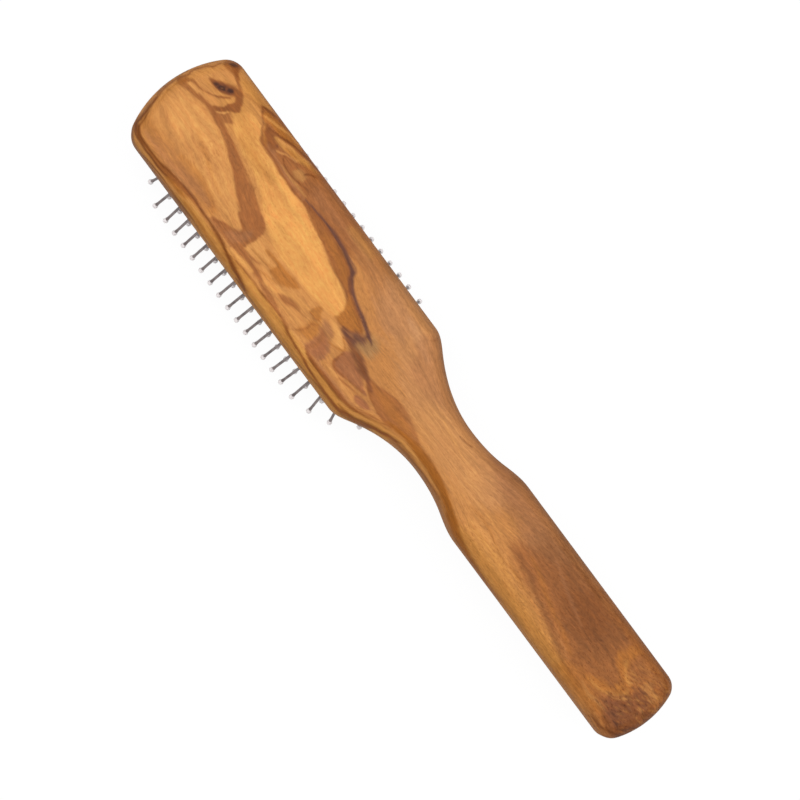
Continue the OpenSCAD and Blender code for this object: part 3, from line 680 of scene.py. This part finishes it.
    ("straw", 0.6, 0.8, [(215.6, 4.8), (218, 4.1), (221.6, 4.6), (221, 6), (217, 6.4)]),
    ("brown", 0.85, 0.7, [(217.6, 7), (220, 6.2), (222, 7), (221, 8.6), (218.4, 8.2)]),
    ("umber", 0.8, 0.5, [(213, -12.4, 0.2), (219, -11.4, 0.4), (223.6, -7, 0.4), (225, -1, 0.4),
     (224.4, 4, 0.4), (221.6, 9, 0.3), (217, 11.6, 0.2)]),
    ("copper", 0.9, 0.4, [(144, -10.6, 0.9), (149, -12.1, 0.9), (155, -12.9, 0.8), (163, -13.4, 0.5),
     (172, -13.8, 0.3)]),
    ("walnut", 0.7, 0.8, [(146, 10.4, 0.4), (152, 12.2, 0.6), (166, 12.6, 0.6), (186, 12.6, 0.5),
     (206, 12.4, 0.4)]),
]

# Short marks over the burl at the handle's end: where they lie, their tones and how much each covers
burl = {
    "from": (209.5, -10), "to": (224.5, 9), "marks": 330, "seed": 31,
    "length": (0.9, 2.8), "halfWidth": (0.1, 0.26), "climb": (0.1, 0.7), "cover": (0.25, 0.6),
    "ends": (0.4, 0.3),  # half width at the two ends of a mark, as parts of the middle's
    "edge": 0.25,
    "dark": ("coffee", "umber", "knot"), "light": ("honey", "amber", "straw"),
    "lightShare": (0.45, 0.04),  # of the marks at v = 0, and how much that grows for each mm of v
}

# How the wood is painted and shaded
woodLook = {
    "slant": 0.12,  # how far the figure moves across for each mm of depth
    "moved": (0.3, 0.16),  # what places the whole figure on the back
    "rise": (0.25, 150),  # how much the handle's colours climb against its flecks, and from which u on
    "sides": (2, 8, 0.7),  # from which v to which the layers turn down the sides, and how far for each mm
    "comb": 0.45,  # how much the grain frays the edges of the figure
    "reach": (1.6, 1.5),  # how far past its points a shape can show: parts of its edge, and mm
    # how coarse the wood is along the brush: u, and 0 for fine to 1 for coarse
    "coarse": ([0, 130, 152, 170, 206, 213, 225], [0.12, 0.14, 0.3, 0.6, 0.6, 1, 1]),
    # cells for each mm along, across and down, then the detail and roughness of each noise
    "noises": {
        "wide": ((0.06, 0.9, 0.5), 2), "lines": ((0.16, 2.4, 0.8), 3, 0.6),
        "hair": ((0.4, 5.6, 2.0), 2, 0.6), "mottle": ((0.5, 1.5, 0.8), 3, 0.6),
        "dark": ((0.9, 2.9, 1.6), 2, 0.6), "bright": ((1.1, 3.4, 1.6), 2, 0.6),
    },
    # what is laid over the figure: the noise, its strength in fine and in coarse wood, the value that gets the
    # darkest tone, and that tone. The lightest ones mirror them.
    "overlays": [
        ("mottle", (0.26, 0.42), 0.25, 0.2), ("wide", (0.15, 0.15), 0.3, 0.2),
        ("lines", (0.15, 0.15), 0.25, 0.2), ("hair", (0.2, 0.2), 0.3, 0.3),
    ],
    # marks: the noise, where they start and are full, how much they cover in fine and in coarse wood, and
    # how their tone is laid on
    "flecks": ("dark", (0.54, 0.72), (0.22, 0.9), "MULTIPLY", (190, 164, 140)),
    "glints": ("bright", (0.55, 0.72), (0.1, 0.6), "SCREEN", (96, 66, 40)),
    "roughness": (0.4, 0.56),
    "dullSides": (0.3, 3.5, 0.16),  # from which depth to which the sides get rougher, and by how much
    "bump": 0.4, "bumpDepth": 0.00004, "ior": 1.46, "specular": 0.15,
}

# Smooth waves in the wood: the strength of each, its size along and across in mm, and its seed
woodWaves = {
    "layer": [(0.7, 17, 6, 11), (0.3, 5, 2.2, 12), (0.12, 2, 1.3, 14)],
    "along": [(0.8, 8, 3, 13)],
    "warpU": [(0.9, 9, 4, 3), (0.3, 2.6, 1.4, 4)],
    "warpV": [(0.35, 13, 5, 5), (0.16, 3.4, 1.2, 6)],
    "broadComb": [(1, 7, 0.7, 7)], "fineComb": [(0.5, 3.1, 0.45, 8)],
    "streaks": [(0.09, 15, 0.9, 21), (0.07, 6, 0.5, 22)], "clouds": [(0.05, 4, 3, 23)],
    "coarse": [(0.25, 12, 6, 24)],
}
waveGrid = {"rows": 96, "columns": 256, "margin": 60}  # of random values, and the mm that it starts before zero


def burlMarks():
    rng = np.random.default_rng(burl["seed"])
    startShare, endShare = burl["ends"]
    rows = []
    for _ in range(burl["marks"]):
        u, v = rng.uniform(burl["from"], burl["to"])
        sizes = [rng.uniform(*burl[key]) for key in ("length", "halfWidth", "climb", "cover")]
        length, wide, climb, cover = sizes
        lightShare = burl["lightShare"][0] + burl["lightShare"][1] * v
        tone = rng.choice(burl["light" if rng.random() < lightShare else "dark"])
        rows.append((tone, cover, burl["edge"], [
            (u, v, wide * startShare), (u + length / 2, v + climb * length / 2, wide),
            (u + length, v + climb * length, wide * endShare)]))
    return rows


def softNoise(u, v, cellU, cellV, seed):
    # smooth value noise from -1 to 1, with cells of the given size
    rng = np.random.default_rng(seed)
    rows, columns = waveGrid["rows"], waveGrid["columns"]
    grid = rng.random((rows, columns)) * 2 - 1
    x, y = (u + waveGrid["margin"]) / cellU, (v + waveGrid["margin"]) / cellV
    i, j = np.floor(x).astype(int), np.floor(y).astype(int)
    s, t = x - i, y - j
    s, t = s * s * (3 - 2 * s), t * t * (3 - 2 * t)
    i, j = i % (columns - 1), j % (rows - 1)
    return ((grid[j, i] * (1 - s) + grid[j, i + 1] * s) * (1 - t)
            + (grid[j + 1, i] * (1 - s) + grid[j + 1, i + 1] * s) * t)


def waves(key, u, v):
    # the sum of one set of waves
    return sum(strength * softNoise(u, v, *settings) for strength, *settings in woodWaves[key])


def smoothCurve(points, closed, steps=6):
    # Catmull-Rom curve through the points
    p = np.array(points, float)
    n = len(p)
    rows = []
    for k in range(n if closed else n - 1):
        if closed:
            a, b, c, d = p[(k - 1) % n], p[k], p[(k + 1) % n], p[(k + 2) % n]
        else:
            b, c = p[k], p[k + 1]
            a = p[k - 1] if k else 2 * b - c
            d = p[k + 2] if k + 2 < n else 2 * c - b
        for t in np.arange(steps) / steps:
            square, cube = 2 * a - 5 * b + 4 * c - d, 3 * b - a - 3 * c + d
            rows.append(0.5 * (2 * b + (c - a) * t + square * t ** 2 + cube * t ** 3))
    rows.append(p[0] if closed else p[-1])
    return np.array(rows)


def reachOf(points, isStreak, u, v):
    # how far inside the shape a point is, in mm, negative outside
    line = smoothCurve(points, not isStreak)
    best = np.full(len(u), np.inf)
    inside = np.zeros(len(u), bool)
    for a, b in zip(line[:-1], line[1:]):
        du, dv = b[0] - a[0], b[1] - a[1]
        t = np.clip(((u - a[0]) * du + (v - a[1]) * dv) / (du * du + dv * dv + tiny), 0, 1)
        gap = np.hypot(u - a[0] - t * du, v - a[1] - t * dv)
        if isStreak:
            gap = gap - (a[2] + t * (b[2] - a[2]))
        else:
            crossing = (a[1] > v) != (b[1] > v)
            inside ^= crossing & (u < a[0] + (v - a[1]) * du / (dv if abs(dv) > tiny else tiny))
        best = np.minimum(best, gap)
    return -best if isStreak else np.where(inside, best, -best)


def grainOf(u, v, depth):
    # where a point lies in the grain: along it, and across its layers, which run on down the sides
    level = np.array([line[0] for line in growthLines], float)
    lines = np.array([np.interp(u, *zip(*line[1])) for line in growthLines])
    low = np.clip((v[None, :] > lines).sum(0) - 1, 0, len(level) - 2)
    own = np.arange(len(u))
    share = (v - lines[low, own]) / (lines[low + 1, own] - lines[low, own])
    layer = level[low] + share * (level[low + 1] - level[low])
    sideFrom, sideTo, turn = woodLook["sides"]
    layer += np.sign(v) * smoothStep(sideFrom, sideTo, np.abs(v)) * depth * turn
    return u + waves("along", u, v), layer + waves("layer", u, v)


def paintFigure(u, v, depth):
    u, v = u + woodLook["moved"][0], v + woodLook["moved"][1]
    along, layer = grainOf(u, v, depth)
    v = v - woodLook["slant"] * depth
    warpU, warpV = u + waves("warpU", u, v), v + waves("warpV", u, v)
    rise, riseFrom = woodLook["rise"]
    across = layer + rise * np.maximum(u - riseFrom, 0)
    comb = waves("broadComb", along, across) + waves("fineComb", along, layer)
    colour = np.tile(linear(woodTones["tan"]), (len(u), 1))
    for tone, cover, edge, points in woodFigure + burlMarks():
        p = np.array(points, float)
        isStreak = p.shape[1] == 3
        wide = (p[:, 2].max() if isStreak else 0) + edge * woodLook["reach"][0] + woodLook["reach"][1]
        low, high = p[:, :2].min(0) - wide, p[:, :2].max(0) + wide
        near = (warpU > low[0]) & (warpU < high[0]) & (warpV > low[1]) & (warpV < high[1])
        if not near.any():
            continue
        reach = reachOf(points, isStreak, warpU[near], warpV[near]) / edge + woodLook["comb"] * comb[near]
        share = (smoothStep(-1, 1, reach) * cover)[:, None]
        colour[near] = colour[near] * (1 - share) + linear(woodTones[tone]) * share
    colour *= (1 + waves("streaks", along, across) + waves("clouds", u, v))[:, None]
    coarse = np.clip(np.interp(u, *woodLook["coarse"]) + waves("coarse", u, v), 0, 1)
    return np.column_stack([colour, coarse]), along, layer


def woodMaterial():
    material, tree, bsdf = newMaterial("oiledOliveWood")
    figure = addNode(tree, "Attribute", attribute_name="figure")
    grain = addNode(tree, "Attribute", attribute_name="grain").outputs["Vector"]
    noise = {name: noiseOf(tree, grain, *settings) for name, settings in woodLook["noises"].items()}

    def byCoarse(pair):
        return spread(tree, figure.outputs["Alpha"], 0.0, 1.0, *pair)

    colour = figure.outputs["Color"]
    for name, strength, low, darkest in woodLook["overlays"]:
        tones = spread(tree, noise[name], low, 1 - low, darkest, 1 - darkest)
        colour = mixed(tree, "OVERLAY", byCoarse(strength), colour, tones)
    covers = []
    for name, ends, cover, kind, tone in (woodLook["flecks"], woodLook["glints"]):
        covers.append(calculated(tree, "MULTIPLY", spread(tree, noise[name], *ends), byCoarse(cover)))
        toned = mixed(tree, kind, 1.0, colour, shade(tone))
        colour = mixed(tree, "MIX", covers[-1], colour, toned)
    tree.links.new(colour, bsdf.inputs["Base Color"])
    depth = addNode(tree, "SeparateXYZ", {0: grain}).outputs["Z"]
    dullFrom, dullTo, duller = woodLook["dullSides"]
    rough = spread(tree, noise["lines"], *noiseSpan, *woodLook["roughness"])
    rough = calculated(tree, "ADD", rough, spread(tree, depth, dullFrom, dullTo, 0.0, duller))
    tree.links.new(rough, bsdf.inputs["Roughness"])
    relief = calculated(tree, "SUBTRACT", noise["hair"], covers[0])
    addBump(tree, bsdf, woodLook["bump"], woodLook["bumpDepth"], relief)
    bsdf.inputs["IOR"].default_value = woodLook["ior"]
    bsdf.inputs["Specular IOR Level"].default_value = woodLook["specular"]
    return material


def makeWoodenBody():
    points, faces = bodyMesh()
    depth = body["pinSide"] + body["thickness"] - points[:, 2]
    u, v = points[:, 0].copy(), points[:, 1].copy()
    figureTones, along, layer = paintFigure(u, v, depth)
    points[:, 0] -= body["length"] / 2
    piece = meshObject("woodenBody", points, faces, woodMaterial())
    figure = piece.data.color_attributes.new("figure", "FLOAT_COLOR", "POINT")
    figure.data.foreach_set("color", figureTones.astype(np.float32).ravel())
    grain = piece.data.attributes.new("grain", "FLOAT_VECTOR", "POINT")
    grain.data.foreach_set("vector", np.column_stack([along, layer, depth]).astype(np.float32).ravel())
    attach(piece, "root")
    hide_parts("wooden_body")
    print("wooden body:", len(points), "points,", len(faces), "faces")


makeWoodenBody()

# The rubber cushion: a domed shell whose outer face is turned about the line that the pins fan out from
cushion = {
    "crown": 25.7,  # radius across the brush
    "rubber": 1.6,
    "neckFall": (28.7, 39.7),  # where the crown starts to fall, and the radius of its fall
    "endFall": (33.5, 36.0),
    "gap": 0.1,
    "vent": (41.8, 0.42, 0.75, 1.0),  # how far from the middle column, radius of floor and rim, and depth
    "collar": (1.15, 0.14),  # radius and height of the rim round each pin
    "collarFlank": (1.5, 4, 0.4),  # how steeply that rim falls
    "dimple": (0.341, 0.62, 0.22),  # radius of its floor and its rim, and its depth
    "rimLift": 0.12,  # how far the outer edge runs up past the crown, beside the wood
    "stepAlong": 0.27, "columns": 124, "innerColumns": 18,
}

# The pins, as the CAD model sets them
pins = {
    "out": 17.6, "pitch": 4.4, "toNeck": 10, "toEnd": 11,
    "full": 9, "fan": 8.1, "growth": 0.04,  # pins in a column, the degrees between them and their growth
    "atNeck": [(5, 9.8), (7, 9.4), (9, 7.9)], "atEnd": [(5, 7.2), (7, 7.2), (7, 8.9)],
    "ball": 1.6,
}


def crownFall(x):
    (neckAt, neckR), (endAt, endR) = cushion["neckFall"], cushion["endFall"]
    past = np.where(x > neckAt, (x - neckAt) / neckR, np.where(x < -endAt, (-x - endAt) / endR, 0))
    return np.where(x > 0, neckR, endR) * (1 - np.cos(np.arcsin(past)))


def crownPoint(x, fan, inwards=0.0):
    # a point of the crown, at a distance from the middle column and an angle about the fan's line
    radius = cushion["crown"] - crownFall(x) - inwards
    fanZ = pins["out"] + cushion["crown"]
    return np.stack([x + pocket["middle"], -radius * np.sin(fan), fanZ - radius * np.cos(fan)], -1)


def pinSpots():
    spots = []
    for i in range(-pins["toEnd"], pins["toNeck"] + 1):
        fromNeck, fromEnd = pins["toNeck"] - i, pins["toEnd"] + i
        count, step = pins["full"], pins["fan"] + pins["growth"] * i
        if fromNeck < len(pins["atNeck"]):
            count, step = pins["atNeck"][fromNeck]
        if fromEnd < len(pins["atEnd"]):
            count, step = pins["atEnd"][fromEnd]
        for j in range(count):
            spots.append((i * pins["pitch"], math.radians((j - (count - 1) / 2) * step)))
    return np.array(spots)


def ladder(points, faces, ring, rowsOf, columns, flip):
    # fills a closed ring, which was made by bothSides, with rows across it
    n = len(ring)
    half = n // 2
    made, previous = [], None
    for k in range(1, half):
        inner = rowsOf(k, np.linspace(0, 1, columns + 1)[1:-1])
        row = [ring[k], *range(len(points), len(points) + len(inner)), ring[n - k]]
        points.extend(inner)
        if previous is None:
            made += [(ring[0], row[c + 1], row[c]) for c in range(columns)]
        else:
            made += [(previous[c], previous[c + 1], row[c + 1], row[c]) for c in range(columns)]
        previous = row
    made += [(previous[c], previous[c + 1], ring[half]) for c in range(columns)]
    faces += [f[::-1] if flip else f for f in made]


def cushionMesh():
    rim = openingOutline(cushion["gap"], cushion["stepAlong"])
    n = len(rim)
    feet = crownPoint(*pinSpots().T)
    ventAt, ventFloor, ventRim, ventDepth = cushion["vent"]
    vent = crownPoint(np.array([ventAt]), np.array([0.0]))
    collarR, collarH = cushion["collar"]
    steep, power, flank = cushion["collarFlank"]
    dimpleFloor, dimpleRim, dimpleDepth = cushion["dimple"]

    def edgeOf(outline, inwards):
        # the place along and the angle of each point of an outline, on the crown
        x = outline[:, 0] - pocket["middle"]
        return x, -np.arcsin(np.clip(outline[:, 1] / (cushion["crown"] - crownFall(x) - inwards), -1, 1))

    def pressed(p, fan):
        # the outer face with its rims, dimples and vent, moved towards the fan's line
        gap = np.sqrt(((p[:, None, :] - feet[None]) ** 2).sum(-1)).min(1)
        toVent = np.sqrt(((p - vent) ** 2).sum(-1))
        inwards = collarH * (1 - np.exp(-(gap / collarR * steep) ** power * flank))
        inwards += dimpleDepth * (1 - smoothStep(dimpleFloor, dimpleRim, gap))
        inwards += ventDepth * (1 - smoothStep(ventFloor, ventRim, toVent))
        moved = p.copy()
        moved[:, 1] += inwards * np.sin(fan)
        moved[:, 2] += inwards * np.cos(fan)
        return moved

    x, fan = edgeOf(rim, 0)
    points, faces = list(pressed(crownPoint(x, fan), fan) + [0, 0, cushion["rimLift"]]), []

    def outerRow(k, t):
        turned = fan[k] * (1 - 2 * t)
        return list(pressed(crownPoint(np.full(len(t), x[k]), turned), turned))

    ladder(points, faces, list(range(n)), outerRow, cushion["columns"], True)

    # the flange in the wood's groove, and the inner face
    flangeFoot = body["pinSide"] + pocket["lip"] + cushion["gap"]
    flangeTop = body["pinSide"] + pocket["lip"] + pocket["groove"] - cushion["gap"]
    flangeRim, innerRim = movedIn(rim, -pocket["grooveIn"]), movedIn(rim, cushion["rubber"])
    innerX, innerFan = edgeOf(innerRim, cushion["rubber"])
    steps = [(rim, flangeFoot), (flangeRim, flangeFoot), (flangeRim, flangeTop), (innerRim, flangeTop)]
    rings = [[(a, b, z) for a, b in ring] for ring, z in steps]
    last = 0
    for ring in [*rings, crownPoint(innerX, innerFan, cushion["rubber"])]:
        start = len(points)
        points.extend(ring)
        faces += band(last, start, n)
        last = start

    def innerRow(k, t):
        return list(crownPoint(np.full(len(t), innerX[k]), innerFan[k] * (1 - 2 * t), cushion["rubber"]))

    ladder(points, faces, list(range(last, last + n)), innerRow, cushion["innerColumns"], False)
    return np.array([tuple(p) for p in points]), faces


rubberLook = {
    "dark": (30, 29, 31), "pale": (52, 51, 53), "roughness": (0.42, 0.6), "ior": 1.5,
    "cloud": 260, "speck": 2600,  # cells of noise for each metre
    "cloudSpan": (0.35, 0.7),
    "bump": 0.25, "bumpDepth": 0.00005,
}


def rubberMaterial():
    material, tree, bsdf = newMaterial("blackRubber")
    place = addNode(tree, "NewGeometry").outputs["Position"]
    cloud = noiseOf(tree, place, (rubberLook["cloud"],) * 3, 3)
    speck = noiseOf(tree, place, (rubberLook["speck"],) * 3, 2)
    tones = shade(rubberLook["dark"]), shade(rubberLook["pale"])
    colour = mixed(tree, "MIX", spread(tree, cloud, *rubberLook["cloudSpan"]), *tones)
    tree.links.new(colour, bsdf.inputs["Base Color"])
    tree.links.new(spread(tree, speck, *noiseSpan, *rubberLook["roughness"]), bsdf.inputs["Roughness"])
    addBump(tree, bsdf, rubberLook["bump"], rubberLook["bumpDepth"], speck)
    bsdf.inputs["IOR"].default_value = rubberLook["ior"]
    return material


def makeCushion():
    points, faces = cushionMesh()
    points[:, 0] -= body["length"] / 2
    piece = meshObject("rubberCushion", points, faces, rubberMaterial(), 60)
    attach(piece, "root")
    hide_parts("rubber_cushion")
    print("rubber cushion:", len(points), "points,", len(faces), "faces")


makeCushion()

steelLook = {
    # the shaft's tones are the steel's own grey, darkened with painted shade from under the brush
    "shaft": ((104, 94, 93), (141, 130, 128)), "ball": (254, 247, 247),
    # the ball's near-white tone, on a ball that is mostly not metal, is a painted reflection of the bright
    # surroundings in the polished steel
    "roughness": (0.2, 0.38), "ballRoughness": 0.3, "ballMetal": 0.15,
    "flare": 0.3,  # length in mm over which the shaft's look turns into the ball's
    "cloud": (700, 700, 240), "scratches": (5200, 5200, 700),  # cells of noise for each metre
}


def alongPin(tree):
    # distance out of the rubber in mm: what lies past the crown's surface, which falls at its two ends
    def sums(operation, a, b=0.0):
        return calculated(tree, operation, a, b)

    def length(a, b):
        return sums("POWER", sums("ADD", sums("MULTIPLY", a, a), sums("POWER", b, 2.0)), 0.5)

    metres = addNode(tree, "NewGeometry").outputs["Position"]
    place = addNode(tree, "VectorMath", {0: metres, 1: (1 / mm,) * 3}, operation="MULTIPLY")
    axes = addNode(tree, "SeparateXYZ", {0: place.outputs[0]}).outputs
    x = sums("SUBTRACT", axes["X"], pocket["middle"] - body["length"] / 2)
    above = sums("SUBTRACT", axes["Z"], pins["out"] + cushion["crown"])
    out = sums("SUBTRACT", length(axes["Y"], above), cushion["crown"])

    def fallen(fallAt, fallR, side):
        past = sums("MAXIMUM", sums("SUBTRACT", sums("MULTIPLY", x, side), fallAt), 0.0)
        return sums("SUBTRACT", length(past, sums("ADD", out, fallR)), fallR)

    toNeck = sums("GREATER_THAN", x, 0.0)
    return between(tree, toNeck, fallen(*cushion["endFall"], -1.0), fallen(*cushion["neckFall"], 1.0))


def steelMaterial():
    material, tree, bsdf = newMaterial("polishedSteel")
    place = addNode(tree, "NewGeometry").outputs["Position"]
    cloud = noiseOf(tree, place, steelLook["cloud"], 2)
    scratches = noiseOf(tree, place, steelLook["scratches"], 2)
    ballFoot = pins["out"] - pins["ball"]
    ball = spread(tree, alongPin(tree), ballFoot - steelLook["flare"], ballFoot)
    # steel grey with painted shade on the shaft
    shaft = mixed(tree, "MIX", spread(tree, cloud, *noiseSpan), *[shade(tone) for tone in steelLook["shaft"]])
    # the ball's near-white is a painted reflection
    tree.links.new(mixed(tree, "MIX", ball, shaft, shade(steelLook["ball"])), bsdf.inputs["Base Color"])
    shaftRough = spread(tree, scratches, *noiseSpan, *steelLook["roughness"])
    tree.links.new(between(tree, ball, shaftRough, steelLook["ballRoughness"]), bsdf.inputs["Roughness"])
    # the ball is mostly not metal, so that its painted reflection shows as a plain colour
    tree.links.new(between(tree, ball, 1.0, steelLook["ballMetal"]), bsdf.inputs["Metallic"])
    return material


steel = steelMaterial()
for name, node in frame["nodes"].items():
    if name.startswith("pin_row"):
        node.data.materials.clear()
        node.data.materials.append(steel)
print("pins finished")

# Floor, world and lamps
studio = {
    "floor": (170, 170, 170), "floorSize": 3.0, "floorRoughness": 0.9, "whiteShare": 0.8, "white": 1.17,
    "sky": (0.3, 0.75),  # strength of the world as a light, at the horizon and overhead
    "mirrored": (0.6, 0.8),  # and as polished and oiled faces mirror it
    "lamps": [  # place, size and watts
        ((-0.20, -0.16, 0.85), 0.5, 2.5),
        ((0.25, 0.20, 0.95), 0.6, 1.85),
    ],
}


def seenBy(tree, *rays):
    # 1 for a ray of one of these kinds, and otherwise 0
    path = addNode(tree, "LightPath").outputs
    seen = path[rays[0]]
    for ray in rays[1:]:
        seen = calculated(tree, "MAXIMUM", seen, path[ray])
    return seen


def makeFloor():
    mesh = bpy.data.meshes.new("floor")
    s = studio["floorSize"] / 2
    mesh.from_pydata([(-s, -s, 0), (s, -s, 0), (s, s, 0), (-s, s, 0)], [], [(0, 1, 2, 3)])
    floor = bpy.data.objects.new("floor", mesh)
    bpy.context.scene.collection.objects.link(floor)
    material, tree, bsdf = newMaterial("paleFloor")
    bsdf.inputs["Base Color"].default_value = shade(studio["floor"])
    bsdf.inputs["Roughness"].default_value = studio["floorRoughness"]
    bsdf.inputs["Specular IOR Level"].default_value = 0.0
    white = addNode(tree, "Emission", {"Color": (1, 1, 1, 1), "Strength": studio["white"]})
    seen = seenBy(tree, "Is Camera Ray", "Is Transmission Ray", "Is Glossy Ray")
    share = calculated(tree, "MULTIPLY", seen, studio["whiteShare"])
    both = addNode(tree, "MixShader", {0: share, 1: bsdf.outputs[0], 2: white.outputs[0]})
    tree.links.new(both.outputs[0], tree.nodes["Material Output"].inputs["Surface"])
    mesh.materials.append(material)


def makeWorld():
    world = bpy.data.worlds.new("studio")
    bpy.context.scene.world = world
    world.use_nodes = True
    tree = world.node_tree
    height = addNode(tree, "SeparateXYZ", {0: addNode(tree, "TexCoord").outputs["Generated"]}).outputs["Z"]
    sky, mirrored = [spread(tree, height, 0, 1, *studio[key]) for key in ("sky", "mirrored")]
    light = between(tree, seenBy(tree, "Is Glossy Ray"), sky, mirrored)
    strength = between(tree, seenBy(tree, "Is Camera Ray", "Is Transmission Ray"), light, 1.0)
    background = tree.nodes["Background"]
    background.inputs["Color"].default_value = (1, 1, 1, 1)
    tree.links.new(strength, background.inputs["Strength"])


def makeLamps():
    for k, (place, size, watts) in enumerate(studio["lamps"]):
        lamp = bpy.data.lights.new("lamp%d" % k, "AREA")
        lamp.shape, lamp.size, lamp.energy = "DISK", size, watts
        holder = bpy.data.objects.new("lamp%d" % k, lamp)
        holder.location = place
        holder.rotation_mode = "QUATERNION"
        holder.rotation_quaternion = (-Vector(place)).to_track_quat("-Z", "Y")
        bpy.context.scene.collection.objects.link(holder)


makeFloor()
makeWorld()
makeLamps()
bpy.context.scene.view_settings.view_transform = "Standard"
print("studio set")
